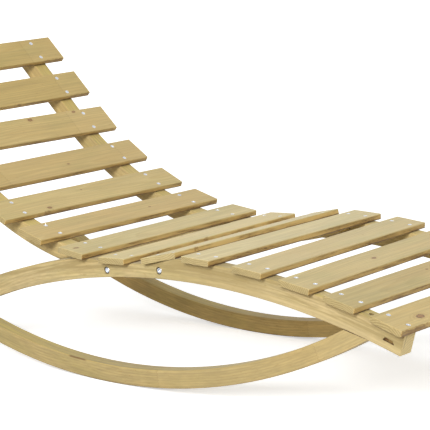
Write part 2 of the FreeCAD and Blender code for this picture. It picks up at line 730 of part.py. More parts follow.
def bolt_places(outward):
    """Frames on the bolt axes, Z outwards, moved by a distance from the rails' meeting face."""
    places = []
    for station in ("rear_bolt_station", "front_bolt_station"):
        x, z = bolt_axis(station)
        for side in (RIGHT, LEFT):
            meeting_y = leg_rail_y() - size("rail_thickness") / 2
            spot = Vector(x, side * (meeting_y + outward), z)
            places.append(Placement(spot, Rotation(Vector(1, 0, 0), -side * 90)))
    return places


def drilled(label, blank, bits, y):
    """A rail moved to its side, with the holes of its screws."""
    blank.Placement = Placement(Vector(0, y, 0), Rotation())
    rail = doc.addObject("Part::Cut", label)
    rail.Label = label
    rail.Base = blank
    rail.Tool = bits
    return rail


def drill_bits(label, places, diameter, length, sink=0.0):
    """Cylinders that clear screws at the given places, running down from their seats."""
    bits = []
    for place in places:
        bit = Part.makeCylinder(diameter / 2 + size("screw_fit"), length)
        bit.translate(Vector(0, 0, -length))
        if sink:
            mouth_radius = size("joint_screw_head") / 2 + size("screw_fit")
            mouth = Part.makeCylinder(mouth_radius, sink)
            neck = (size("joint_screw_head") - size("joint_screw_diameter")) / 2
            cone = Part.makeCone(mouth_radius - neck, mouth_radius, neck)
            cone.translate(Vector(0, 0, -neck))
            bit = bit.fuse([mouth, cone])
        bit.Placement = place.multiply(bit.Placement)
        bits.append(bit)
    feature = doc.addObject("Part::Feature", label)
    feature.Shape = Part.makeCompound(bits)
    return feature


# Assembly

fill_sheet()

wood = []
steel = []

slat_groups = (("back", BACK_SLATS, "back_screw_inset"), ("seat", SEAT_SLATS, "seat_screw_inset"),
               ("leg", LEG_SLATS, "seat_screw_inset"))
for group_name, stations, inset in slat_groups:
    for number in range(1, len(stations) + 1):
        slat = make_slat(f"{group_name}_slat_{number}", inset)
        slat.Placement = slat_place(group_name, number)
        wood.append(slat)

back_places = screw_places("back", range(1, len(BACK_SLATS) + 1), "back_screw_inset")
seat_places = screw_places("seat", range(1, len(SEAT_SLATS) + 1), "seat_screw_inset")
seat_places += screw_places("leg", range(1, len(LEG_SLATS) + 1), "seat_screw_inset")
joint_places = joint_screw_places()
slat_screw = make_slat_screw()
steel.append(group("back_slat_screws", slat_screw, back_places))
steel.append(group("seat_slat_screws", slat_screw, seat_places))
steel.append(group("rocker_joint_screws", make_joint_screw(), joint_places))

head_seat = size("rail_thickness") - size("head_recess_depth")
nut_seat = -size("rail_thickness") + size("nut_recess_depth")
washer = make_washer()
washers = bolt_places(head_seat)
washers += bolt_places(nut_seat - size("washer_thickness"))
steel.append(group("rail_bolt_washers", washer, washers))
steel.append(group("rail_bolts", make_bolt(), bolt_places(head_seat + size("washer_thickness"))))
nuts = bolt_places(nut_seat - size("washer_thickness") - size("nut_height"))
steel.append(group("rail_bolt_nuts", make_nut(), nuts))

back_bits = drill_bits("back_pilots", back_places, size("screw_diameter"), size("screw_length"))
seat_bits = drill_bits("seat_pilots", seat_places, size("screw_diameter"), size("screw_length"))
joint_bits = drill_bits("joint_pilots", joint_places, size("joint_screw_diameter"),
                        size("joint_screw_length"), 3 * size("joint_screw_recess"))
leg_bits = doc.addObject("Part::Feature", "leg_pilots")
leg_bits.Shape = Part.makeCompound([seat_bits.Shape, joint_bits.Shape])
for side, side_name in ((RIGHT, "right"), (LEFT, "left")):
    leg_y, back_y = side * leg_rail_y(), side * back_rail_y()
    wood.append(drilled(f"{side_name}_leg_rail", make_leg_rail(side), leg_bits, leg_y))
    wood.append(drilled(f"{side_name}_rocker", make_rocker(), joint_bits, leg_y))
    wood.append(drilled(f"{side_name}_back_rail", make_back_rail(side), back_bits, back_y))
doc.recompute()

# Rest: a loose rocking body turns until its centre of mass hangs under the rocker's centre.
pieces = wood + steel
mass, moment = 0.0, Vector()
for material, density in ((wood, SOFTWOOD_DENSITY), (steel, STEEL_DENSITY)):
    for piece in material:
        for solid in piece.Shape.Solids:
            mass += solid.Volume * density
            moment += solid.CenterOfMass * (solid.Volume * density)
balance = moment * (1 / mass)
lean = math.atan2(balance.x, size("rocker_radius") - balance.z)
axle = Vector(0, 0, size("rocker_radius"))
roll = Placement(Vector(), Rotation(Vector(0, 1, 0), math.degrees(lean)), axle)
for piece in pieces:
    piece.Placement = roll.multiply(piece.Placement)
box = Part.makeCompound([piece.Shape for piece in pieces]).optimalBoundingBox(False, False)
centring = Placement(Vector(-(box.XMin + box.XMax) / 2, 0, 0), Rotation())
for piece in pieces:
    piece.Placement = centring.multiply(piece.Placement)

for item in doc.Objects:
    if "Invalid" in item.State or "Error" in item.State:
        raise RuntimeError(f"{item.Label} failed: {item.State}")
for piece in pieces:
    if piece.Shape.isNull() or not piece.Shape.isValid():
        raise RuntimeError(f"{piece.Label} has no valid shape")

os.makedirs("parts", exist_ok=True)
for piece in pieces:
    piece.Shape.exportStep(f"parts/{piece.Label}.step")

box = Part.makeCompound([piece.Shape for piece in pieces]).optimalBoundingBox(False, False)
print(f"{len(pieces)} pieces, {mass:.2f} kg, rolled by {math.degrees(lean):.3f} degrees")
print(f"box {box.XLength:.1f} x {box.YLength:.1f} x {box.ZLength:.1f}, lowest {box.ZMin:.3f}")
print(f"touches the floor at X = {centring.Base.x:.2f}")
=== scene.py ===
import math
import random
from collections import namedtuple

import bmesh
import bpy
from mathutils import Matrix, Vector, noise


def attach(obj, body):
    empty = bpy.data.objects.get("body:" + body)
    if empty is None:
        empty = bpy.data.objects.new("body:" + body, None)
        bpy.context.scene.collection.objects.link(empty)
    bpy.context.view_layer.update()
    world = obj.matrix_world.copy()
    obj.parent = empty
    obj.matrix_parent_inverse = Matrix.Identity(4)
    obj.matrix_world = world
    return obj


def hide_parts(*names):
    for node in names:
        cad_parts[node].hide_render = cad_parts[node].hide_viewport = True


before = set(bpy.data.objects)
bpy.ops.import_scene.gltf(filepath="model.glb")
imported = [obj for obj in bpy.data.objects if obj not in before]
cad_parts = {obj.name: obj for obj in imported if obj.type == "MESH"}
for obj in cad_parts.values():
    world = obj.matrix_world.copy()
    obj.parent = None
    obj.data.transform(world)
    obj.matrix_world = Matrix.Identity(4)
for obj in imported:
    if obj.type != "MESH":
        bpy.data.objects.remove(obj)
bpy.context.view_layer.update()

# A rocking lounger of pressure treated pine. The CAD nodes give the places of the slats,
# bolts and joint screws. Rails, slats and slat screws are built again here with rounded
# edges, seated screws and grain that follows each piece. All sizes are in metres.

# Side view of the rails, drawn with the rockers' lowest point at X = 0
RAIL_THICKNESS = 0.038
LEG_RAIL_Y = 0.261
BACK_RAIL_Y = 0.223
CREST_X = 0.212
CREST_Z = 0.305
LEG_RAIL_RADIUS = 1.960
LEG_RAIL_HEIGHT = 0.048
LEG_RAIL_FOOT_RUN = 0.6249
ROCKER_RADIUS = 1.545
ROCKER_HEIGHT = 0.041
JOINT_GAP = 0.0002
ROCKER_TAIL_RUN = 0.7308
SEAT_X = CREST_X - 0.199
SEAT_Z = CREST_Z - 0.024
SEAT_RADIUS = 0.847
BACK_SLOPE = math.radians(45)
BACK_RAIL_HEIGHT = 0.042
BACK_RAIL_HEAD_RUN = 0.922
BACK_RAIL_NOSE_RUN = 0.266
EDGE_RADIUS = 0.0022

# Pocket in the near leg rail's outer face: runs and depths of its corners
POCKET = ((0.5763, 0.0314), (0.5806, 0.0236), (0.6015, 0.0243), (0.6060, 0.0318))
POCKET_DEPTH = 0.006

# How the drawing is rolled on its rockers into balance, and where it then touches the floor
ROLL = math.radians(-0.901)
FLOOR_CONTACT_X = -0.03593

# Slats and screws
SLAT_LENGTH = 0.600
SLAT_WIDTH = 0.080
SLAT_THICKNESS = 0.014
SLAT_EDGE_RADIUS = 0.0022
SCREW_SPREAD = 0.050
SEAT_SCREW_INSET = 0.041
BACK_SCREW_INSET = 0.073
SCREW_HEAD_RADIUS = 0.0050
SCREW_SINK = 0.0006

# Wood pressed in round a screw: how deep, how far out it is that deep, and where it ends
DENT_DEPTH = SCREW_SINK + 0.0007
DENT_CORE = 0.0038
DENT_REACH = 0.0072

# How far the ends of the timbers are eased, and how uneven their planing is
RAIL_EASE = 0.0008
RAIL_UNEVEN = 0.0005
SLAT_EASE = 0.0007
SLAT_UNEVEN_TOP = 0.0009
SLAT_UNEVEN_EDGE = 0.0011

# Bolts and joint screws
BOLT_RECESS_RADIUS = 0.0085
BOLT_BORE_RADIUS = 0.0043
BOLT_HEAD_RECESS = 0.011
BOLT_NUT_RECESS = 0.0095
BOLT_DEPTH = 0.0195
BOLT_STATIONS = (-0.010, 0.150)
JOINT_RECESS_RADIUS = 0.0056
JOINT_RECESS_LENGTH = 0.030

# No two points of a joint screw's rim are further apart than this
JOINT_HEAD_REACH = 0.0115

# How far a cutter stands out of the face that it cuts
CLEAR = 0.010

# Across the lounger, which is also along an unturned slat
ACROSS = Vector((0, 1, 0))

BACK_SLATS = [f"back_slat_{number}" for number in range(1, 8)]
SEAT_SLATS = ["seat_slat_1", "seat_slat_2"] + [f"leg_slat_{number}" for number in range(1, 6)]


def rolled():
    """Matrix from the side drawing to the row's frame."""
    axle = Vector((0, 0, ROCKER_RADIUS))
    roll = Matrix.Translation(axle) @ Matrix.Rotation(ROLL, 4, "Y") @ Matrix.Translation(-axle)
    return Matrix.Translation((FLOOR_CONTACT_X, 0, 0)) @ roll


REST = rolled()


# Curves of the rails

class Curve:
    """Top line of a rail seen from the side: an arc, and past its bend a straight line.

    A hollow curve has its centre above it, an arched one below. A run is a distance along
    the curve from its lowest or highest point, and a depth a distance into the rail.
    """

    def __init__(self, centre, radius, hollow, bend=math.inf):
        self.centre = centre
        self.radius = radius
        self.sign = 1 if hollow else -1
        self.bend = bend

    def point(self, run, depth=0.0):
        angle = max(run / self.radius, -self.bend)
        straight = min(run + self.radius * self.bend, 0.0)
        reach = self.radius + self.sign * depth
        x = self.centre[0] + reach * math.sin(angle) + straight * math.cos(angle)
        z = self.centre[1] - self.sign * (reach * math.cos(angle) - straight * math.sin(angle))
        return x, z

    def locate(self, x, z):
        """Run and depth of a point of the side drawing."""
        dx, dz = x - self.centre[0], -self.sign * (z - self.centre[1])
        angle = math.atan2(dx, dz)
        if angle >= -self.bend:
            return angle * self.radius, self.sign * (math.hypot(dx, dz) - self.radius)
        along = dx * math.cos(self.bend) - dz * math.sin(self.bend)
        out = dx * -math.sin(self.bend) + dz * math.cos(self.bend)
        return along - self.bend * self.radius, self.sign * (out - self.radius)

    def slope(self, run):
        return self.sign * max(run / self.radius, -self.bend)


LEG_CURVE = Curve((CREST_X, CREST_Z - LEG_RAIL_RADIUS), LEG_RAIL_RADIUS, hollow=False)
ROCKER_CURVE = Curve((0, ROCKER_RADIUS), ROCKER_RADIUS - ROCKER_HEIGHT, hollow=True)
SEAT_CURVE = Curve((SEAT_X, SEAT_Z + SEAT_RADIUS), SEAT_RADIUS, hollow=True, bend=BACK_SLOPE)


def circle_run(curve, radius, other, other_radius, side):
    """Run on the first curve where a circle about its centre meets a circle of the other."""
    dx = other.centre[0] - curve.centre[0]
    dz = -curve.sign * (other.centre[1] - curve.centre[1])
    gap = math.hypot(dx, dz)
    cosine = (radius ** 2 + gap ** 2 - other_radius ** 2) / (2 * radius * gap)
    return (math.atan2(dx, dz) + side * math.acos(cosine)) * curve.radius


# Mesh helpers

def link(mesh_object):
    bpy.context.scene.collection.objects.link(mesh_object)
    return mesh_object


def object_from(bm, name):
    mesh = bpy.data.meshes.new(name)
    bmesh.ops.recalc_face_normals(bm, faces=bm.faces)
    bm.to_mesh(mesh)
    bm.free()
    return link(bpy.data.objects.new(name, mesh))


def corner_arc(centre, radius, start, steps):
    """Points of a quarter circle in the (across, rise) plane, from an angle in degrees."""
    angles = [math.radians(start + 90 * step / steps) for step in range(steps + 1)]
    return [(centre[0] + radius * math.cos(a), centre[1] + radius * math.sin(a)) for a in angles]


def rounded_section(width, height, radius, across_cuts, side_cuts, steps=4):
    """Closed outline of a board or rail. The cuts are shares of the flat stretches."""
    half = width / 2 - radius
    low, high = radius, height - radius
    outline = corner_arc((half, high), radius, 0, steps)
    outline += [(half - 2 * half * cut, height) for cut in across_cuts]
    outline += corner_arc((-half, high), radius, 90, steps)
    outline += [(-width / 2, high - (high - low) * cut) for cut in side_cuts]
    outline += corner_arc((-half, low), radius, 180, steps)
    outline += [(-half + 2 * half * cut, 0) for cut in across_cuts]
    outline += corner_arc((half, low), radius, 270, steps)
    outline += [(width / 2, low + (high - low) * cut) for cut in side_cuts]
    return outline


def even(count):
    return [step / (count + 1) for step in range(1, count + 1)]


def skin(rings, name):
    """Closed mesh through rings of points, with a flat face on the first and last ring."""
    bm = bmesh.new()
    rows = [[bm.verts.new(point) for point in ring] for ring in rings]
    count = len(rows[0])
    for row, after in zip(rows, rows[1:]):
        for i in range(count):
            j = (i + 1) % count
            bm.faces.new((row[i], row[j], after[j], after[i]))
    bm.faces.new(rows[0])
    bm.faces.new(reversed(rows[-1]))
    return object_from(bm, name)


def baked(piece):
    """Turn a piece with modifiers into a plain mesh."""
    graph = bpy.context.evaluated_depsgraph_get()
    mesh = bpy.data.meshes.new_from_object(piece.evaluated_get(graph))
    old = piece.data
    piece.modifiers.clear()
    piece.data = mesh
    bpy.data.meshes.remove(old)


def carve(piece, cutters):
    """Cut the cutters out of a piece, then delete them."""
    for cutter in cutters:
        cut = piece.modifiers.new("cut", "BOOLEAN")
        cut.operation = "DIFFERENCE"
        cut.solver = "EXACT"
        cut.object = cutter
    baked(piece)
    for cutter in cutters:
        bpy.data.objects.remove(cutter)
    return piece


def drill(start, direction, length, radius, segments=40):
    """Cutter for a round hole that starts at a point and runs along a direction."""
    bm = bmesh.new()
    bmesh.ops.create_cone(bm, cap_ends=True, segments=segments, radius1=radius, radius2=radius,
                          depth=length)
    turn = Vector((0, 0, 1)).rotation_difference(direction).to_matrix().to_4x4()
    middle = Vector(start) + Vector(direction).normalized() * (length / 2)
    bmesh.ops.transform(bm, matrix=Matrix.Translation(middle) @ turn, verts=bm.verts)
    return object_from(bm, "drill")


def smooth(piece, angle=32):
    piece.data.shade_smooth()
    piece.data.set_sharp_from_angle(angle=math.radians(angle))


def give_grain(piece, locate):
    """Store where each point lies in its timber: along, across and deep, in metres."""
    layer = piece.data.attributes.new("grain", "FLOAT_VECTOR", "POINT")
    for vertex, item in zip(piece.data.vertices, layer.data):
        item.vector = locate(vertex.co)


def mark_ends(piece, end_material, along_axis_of):
    """Give the faces that cut across the grain their own material."""
    piece.data.materials.append(end_material)
    for face in piece.data.polygons:
        squareness = abs(face.normal.dot(along_axis_of(face.center)))
        if squareness > 0.8:
            face.material_index = 1


def waver(point, size, seed):
    """Small smooth unevenness of planed timber at a point."""
    return size * noise.noise(Vector(point) * 9 + Vector((seed * 7.3, seed * 3.1, seed)))


# Materials

class Nodes:
    """Short way to wire a tree of shader nodes."""

    def __init__(self, tree):
        self.tree = tree

    def node(self, kind, **settings):
        made = self.tree.nodes.new("ShaderNode" + kind)
        for key, value in settings.items():
            setattr(made, key, value)
        return made

    def plug(self, socket, value):
        if isinstance(value, bpy.types.NodeSocket):
            self.tree.links.new(value, socket)
        else:
            socket.default_value = value

    def math(self, operation, *values):
        made = self.node("Math", operation=operation)
        for socket, value in zip(made.inputs, values):
            self.plug(socket, value)
        return made.outputs[0]

    def product(self, first, *others):
        for other in others:
            first = self.math("MULTIPLY", first, other)
        return first

    def vector(self, operation, *values):
        made = self.node("VectorMath", operation=operation)
        for socket, value in zip(made.inputs, values):
            self.plug(socket, value)
        return made.outputs["Value" if operation == "LENGTH" else "Vector"]

    def scaled(self, vector, factors):
        return self.vector("MULTIPLY", vector, factors)

    def noise(self, vector, scale, detail=3.0, roughness=0.5, output="Fac"):
        made = self.node("TexNoise")
        self.plug(made.inputs["Vector"], vector)
        self.plug(made.inputs["Scale"], scale)
        self.plug(made.inputs["Detail"], detail)
        self.plug(made.inputs["Roughness"], roughness)
        return made.outputs[output]

    def ramp(self, value, low, high, to_low=0.0, to_high=1.0, kind="SMOOTHSTEP"):
        made = self.node("MapRange", interpolation_type=kind)
        for socket, item in zip(made.inputs, (value, low, high, to_low, to_high)):
            self.plug(socket, item)
        return made.outputs[0]

    def band(self, value, low, high, soft):
        """1 between two values, falling to 0 outside them."""
        rising = self.ramp(value, low - soft, low)
        falling = self.ramp(value, high + soft, high)
        return self.math("MULTIPLY", rising, falling)

    def mix(self, share, first, second):
        made = self.node("Mix", data_type="RGBA")
        self.plug(made.inputs["Factor"], share)
        self.plug(made.inputs["A"], first)
        self.plug(made.inputs["B"], second)
        return made.outputs["Result"]

    def join(self, x, y, z):
        made = self.node("CombineXYZ")
        for socket, value in zip(made.inputs, (x, y, z)):
            self.plug(socket, value)
        return made.outputs[0]

    def shaded(self, colour, factor):
        return self.vector("MULTIPLY", colour, self.join(factor, factor, factor))

    def split(self, vector):
        made = self.node("SeparateXYZ")
        self.plug(made.inputs[0], vector)
        return tuple(made.outputs)


def new_material(name):
    """Material, the helper that wires it, and its shader."""
    material = bpy.data.materials.new(name)
    material.use_nodes = True
    return material, Nodes(material.node_tree), material.node_tree.nodes["Principled BSDF"]


def shade(red, green, blue):
    """Colour written as it looks on a screen, from 0 to 255."""
    parts = []
    for value in (red, green, blue):
        share = value / 255
        parts.append(share / 12.92 if share <= 0.04045 else ((share + 0.055) / 1.055) ** 2.4)
    return (*parts, 1.0)


EARLY_WOOD = shade(199, 176, 118)
LATE_WOOD = shade(182, 157, 99)
GREEN_TINGE = shade(180, 164, 106)
WARM_TINGE = shade(201, 172, 112)
EDGE_WOOD = shade(202, 172, 107)
EDGE_BROWN = shade(162, 133, 76)
# Dark of wane and streaks, and of painted shade under slat edges and at a rail joint
WANE_AND_SHADE_DARK = shade(96, 66, 34)
KNOT_BROWN = shade(158, 108, 64)
KNOT_RIM = shade(92, 60, 34)
END_GRAIN = shade(176, 160, 115)
END_RING = shade(134, 115, 74)
RAIL_END_GRAIN = shade(240, 224, 172)
RAIL_END_RING = shade(218, 198, 144)
RAIL_EARLY = shade(196, 175, 124)
RAIL_LATE = shade(172, 149, 98)
RAIL_PALE = shade(206, 186, 138)
RAIL_TOP = shade(196, 178, 100)
RAIL_OLIVE = shade(152, 134, 88)
# Brown for a drying crack, and for painted shade in crevices and under parts
CRACK_AND_SHADE_BROWN = shade(92, 68, 34)
CHIP_BROWN = shade(124, 90, 44)
JOINT_LINE = shade(138, 112, 66)
POCKET_BROWN = shade(112, 76, 40)
SCREW_TINT = shade(232, 236, 243)
BOLT_TINT = shade(190, 194, 202)

# How far from a neighbouring surface the painted crevice shade reaches
CREVICE_SHADE_REACH = 0.010

# Where a point lies in its timber, in metres, as sockets: whole, moved by the seed, and each
# part. Across is 0 in the middle of the timber, and deep is 0 at its top: it grows downwards
# in the rails, and falls below 0 in the slats.
Grain = namedtuple("Grain", "vector moved along across deep")


def read_grain(nodes, seed):
    vector = nodes.node("Attribute", attribute_name="grain").outputs["Vector"]
    moved = nodes.vector("ADD", vector, (seed * 1.7, seed * 0.9, seed * 0.4))
    return Grain(vector, moved, *nodes.split(vector))


def growth_rings(nodes, grain, pith, ring, near_knot):
    """Share of late wood in rings about a pith that wanders along the timber."""
    wander = nodes.noise(nodes.scaled(grain.moved, (1.6, 6, 6)), 1, 3.0)
    wander = nodes.math("SUBTRACT", wander, 0.5)
    drift = nodes.noise(nodes.scaled(grain.moved, (2.3, 0.5, 0.5)), 1, 1.0)
    drift = nodes.math("SUBTRACT", drift, 0.5)
    pith_across = nodes.math("ADD", pith[0], nodes.product(drift, 0.05))
    pith_deep = nodes.math("ADD", pith[1], nodes.product(drift, 0.02))
    from_pith = nodes.join(0.0, nodes.math("SUBTRACT", grain.across, pith_across),
                           nodes.math("SUBTRACT", grain.deep, pith_deep))
    radius = nodes.math("ADD", nodes.vector("LENGTH", from_pith), nodes.product(wander, 0.030))
    if near_knot is not None:
        radius = nodes.math("ADD", radius, nodes.product(near_knot, 0.009))
    turn = nodes.math("FRACT", nodes.math("DIVIDE", radius, ring))
    return nodes.product(nodes.ramp(turn, 0.20, 0.86), nodes.ramp(turn, 1.0, 0.90))


def knot_fields(nodes, grain, knots):
    """How near the closest knot is, how far inside a knot, and how close to a knot's rim."""
    fields = []
    for along, across, radius in knots:
        warp = nodes.noise(nodes.scaled(grain.moved, (220, 220, 220)), 1, 2.0, output="Color")
        warp = nodes.scaled(nodes.vector("SUBTRACT", warp, (0.5, 0.5, 0.5)), (radius * 1.5,) * 3)
        offset = nodes.vector("ADD", grain.vector, warp)
        offset = nodes.vector("SUBTRACT", offset, (along, across, 0))
        distance = nodes.vector("LENGTH", nodes.scaled(offset, (0.62, 1, 0.15)))
        near = nodes.ramp(distance, radius * 3.4, radius)
        inside = nodes.ramp(distance, radius * 1.1, radius * 0.8)
        rim = nodes.band(distance, radius * 0.85, radius * 1.0, radius * 0.25)
        fields.append((near, inside, rim))
    merged = fields[0]
    for field in fields[1:]:
        merged = tuple(nodes.math("MAXIMUM", one, other) for one, other in zip(merged, field))
    return merged


def timber(name, seed, early, late, pith, ring, tone_and_light, knots=(), paints=(), end=None):
    """Pine with growth rings, fibres, blotches and knots, its colour multiplied by factors that
    also carry painted light and shade, and darkened by painted shade where other surfaces are
    close.

    The pith is given as (across, deep) beside or under the piece, in metres. Each of the
    paints takes the nodes, the grain and the colour so far, and returns a new colour. end
    gives the two colours of end grain, for the faces across it.
    """
    material, nodes, shader = new_material(name)
    grain = read_grain(nodes, seed)
    near, inside, rim = knot_fields(nodes, grain, knots) if knots else (None, None, None)
    late_share = growth_rings(nodes, grain, pith, ring, near)

    # Fibres and pores drawn out along the grain
    fibre = nodes.noise(nodes.scaled(grain.moved, (14, 620, 620)), 1, 4.0, 0.6)
    streak = nodes.noise(nodes.scaled(grain.moved, (4.5, 190, 190)), 1, 3.0, 0.65)
    broad = nodes.noise(nodes.scaled(grain.moved, (2.2, 42, 42)), 1, 3.0, 0.55)
    blotch = nodes.noise(nodes.scaled(grain.moved, (6, 17, 17)), 1, 3.0, 0.55)
    warm = nodes.noise(nodes.scaled(grain.moved, (4, 9, 9)), 1, 2.0, 0.5)
    share = nodes.product(late_share, nodes.ramp(streak, 0.25, 0.75, 0.15, 0.75))
    colour = nodes.mix(share, early, late)
    colour = nodes.mix(nodes.ramp(blotch, 0.42, 0.70, 0.0, 0.50), colour, GREEN_TINGE)
    colour = nodes.mix(nodes.ramp(warm, 0.50, 0.75, 0.0, 0.55), colour, WARM_TINGE)
    factor = nodes.product(nodes.ramp(fibre, 0.25, 0.75, 0.90, 1.07, "LINEAR"),
                           nodes.ramp(streak, 0.32, 0.68, 0.86, 1.09, "LINEAR"),
                           nodes.ramp(broad, 0.3, 0.7, 0.93, 1.05, "LINEAR"))
    colour = nodes.shaded(colour, factor)
    speck = nodes.noise(nodes.scaled(grain.moved, (75, 240, 240)), 1, 2.0, 0.5)
    colour = nodes.mix(nodes.ramp(speck, 0.64, 0.74, 0.0, 0.45), colour, EDGE_BROWN)
    # These factors also hold painted light: painted shade on pieces out of the light, and a
    # painted sheen on slats seen at a grazing view
    colour = nodes.scaled(colour, tone_and_light)
    if knots:
        colour = nodes.mix(nodes.product(nodes.ramp(near, 0.5, 1.0), 0.18), colour, KNOT_BROWN)
        mottle = nodes.noise(grain.vector, 500, 2.0)
        heart = nodes.mix(nodes.ramp(mottle, 0.35, 0.65), KNOT_RIM, KNOT_BROWN)
        colour = nodes.mix(nodes.product(inside, 0.75), colour, heart)
        colour = nodes.mix(nodes.product(rim, 0.70), colour, KNOT_RIM)
    if end:
        colour = end_colour(nodes, colour, late_share, grain, end)
    for paint in paints:
        colour = paint(nodes, grain, colour)
    # Painted shade: the colour turns brown where other surfaces are close, in crevices, seams and
    # under the slats
    crevice = nodes.node("AmbientOcclusion", samples=6)
    crevice.inputs["Distance"].default_value = CREVICE_SHADE_REACH
    crevice_shade = nodes.ramp(crevice.outputs["AO"], 0.80, 0.35, 0.0, 0.75)
    colour = nodes.mix(crevice_shade, colour, CRACK_AND_SHADE_BROWN)

    nodes.plug(shader.inputs["Base Color"], colour)
    nodes.plug(shader.inputs["Roughness"], nodes.ramp(fibre, 0.2, 0.8, 0.50, 0.66, "LINEAR"))
    shader.inputs["Specular IOR Level"].default_value = 0.45
    shader.inputs["Sheen Weight"].default_value = 0.16
    shader.inputs["Sheen Roughness"].default_value = 0.4
    height = nodes.math("ADD", nodes.product(fibre, 0.7), nodes.product(streak, 0.5))
    height = nodes.math("ADD", height, nodes.product(late_share, 0.25))
    bump = nodes.node("Bump")
    bump.inputs["Strength"].default_value = 0.55 if end else 0.35
    bump.inputs["Distance"].default_value = 0.0004
    nodes.plug(bump.inputs["Height"], height)
    nodes.plug(shader.inputs["Normal"], bump.outputs["Normal"])
    return material


def end_colour(nodes, colour, late_share, grain, tones):
    """Sawn end grain: open pores, saw marks and clear rings."""
    sawn = nodes.noise(nodes.scaled(grain.moved, (1, 300, 900)), 1, 3.0, 0.6)
    patch = nodes.noise(nodes.scaled(grain.moved, (1, 60, 60)), 1, 2.0, 0.5)
    end = nodes.mix(nodes.product(late_share, nodes.ramp(patch, 0.3, 0.6, 0.5, 0.95)), *tones)
    end = nodes.mix(nodes.ramp(sawn, 0.4, 0.7, 0.0, 0.5), end, tones[1])
    return nodes.mix(0.85, colour, end)


def slat_edges(nodes, grain, colour):
    """Edge faces of a slat, browner than its top, with patches of wane and painted shade along the
    lower arris.
    """
    side = nodes.product(nodes.ramp(grain.deep, -0.0012, -0.0028),
                         nodes.ramp(nodes.math("ABSOLUTE", grain.across), 0.0370, 0.0384))
    patch = nodes.noise(nodes.scaled(grain.moved, (11, 12, 90)), 1, 3.0, 0.6)
    fleck = nodes.noise(nodes.scaled(grain.moved, (60, 40, 420)), 1, 3.0, 0.65)
    edge = nodes.mix(nodes.ramp(patch, 0.38, 0.66), EDGE_WOOD, EDGE_BROWN)
    wane = nodes.product(nodes.ramp(patch, 0.50, 0.66), nodes.ramp(fleck, 0.46, 0.62), 0.75)
    edge = nodes.mix(wane, edge, WANE_AND_SHADE_DARK)
    # Painted shade: a dark band along the foot of the edge faces, under the slat
    low = nodes.ramp(nodes.math("ADD", grain.deep, nodes.product(patch, -0.004)), -0.0118, -0.0142)
    edge = nodes.mix(nodes.product(low, 0.75), edge, WANE_AND_SHADE_DARK)
    return nodes.mix(side, colour, edge)


def edge_marks(places):
    """Paint for dark chips along a slat's front arris, given as places and lengths."""
    def paint(nodes, grain, colour):
        ragged = nodes.noise(nodes.scaled(grain.moved, (70, 260, 260)), 1, 2.0, 0.6)
        arris = nodes.math("ADD", grain.across, nodes.product(ragged, 0.006))
        reach = nodes.product(nodes.ramp(arris, 0.0395, 0.0420),
                              nodes.ramp(ragged, 0.42, 0.56), 0.6)
        for place, length in places:
            near = nodes.band(grain.along, place - length / 2, place + length / 2, length * 0.3)
            colour = nodes.mix(nodes.product(near, reach), colour, CHIP_BROWN)
        return colour
    return paint


def cross_joints(places):
    """Paint for finger joints, faint zigzag lines across the grain at some places along it."""
    def paint(nodes, grain, colour):
        flat = nodes.math("ADD", grain.across, grain.deep)
        zigzag = nodes.product(nodes.math("PINGPONG", flat, 0.0035), 1.3)
        for place in places:
            offset = nodes.math("SUBTRACT", grain.along, nodes.math("ADD", place, zigzag))
            line = nodes.ramp(nodes.math("ABSOLUTE", offset), 0.0016, 0.0004)
            colour = nodes.mix(nodes.product(line, 0.35), colour, JOINT_LINE)
            beyond = nodes.ramp(offset, 0.0, 0.001, 0.0, 0.10)
            colour = nodes.mix(beyond, colour, RAIL_PALE)
        return colour
    return paint


def rail_wear_and_shade(nodes, grain, colour):
    """Flecks along the grain, a weathered top face with fine dark lines, and painted shade on the
    top arrises.
    """
    fleck = nodes.noise(nodes.scaled(grain.moved, (34, 230, 230)), 1, 3.0, 0.6)
    factor = nodes.ramp(fleck, 0.34, 0.66, 0.88, 1.09, "LINEAR")
    colour = nodes.shaded(colour, factor)
    crown = nodes.ramp(grain.deep, 0.0016, 0.0006)
    lines = nodes.noise(nodes.scaled(grain.moved, (3, 260, 5)), 1, 3.0, 0.65)
    share = nodes.product(crown, nodes.ramp(lines, 0.38, 0.62, 0.0, 0.85))
    colour = nodes.mix(share, colour, RAIL_TOP)
    # Painted shade: the rounded top arrises, which face the light, are darkened
    arris_shade = nodes.product(nodes.ramp(nodes.math("ABSOLUTE", grain.across), 0.0164, 0.0178),
                           nodes.ramp(grain.deep, 0.0026, 0.0014))
    return nodes.mix(nodes.product(arris_shade, 0.5), colour, RAIL_LATE)


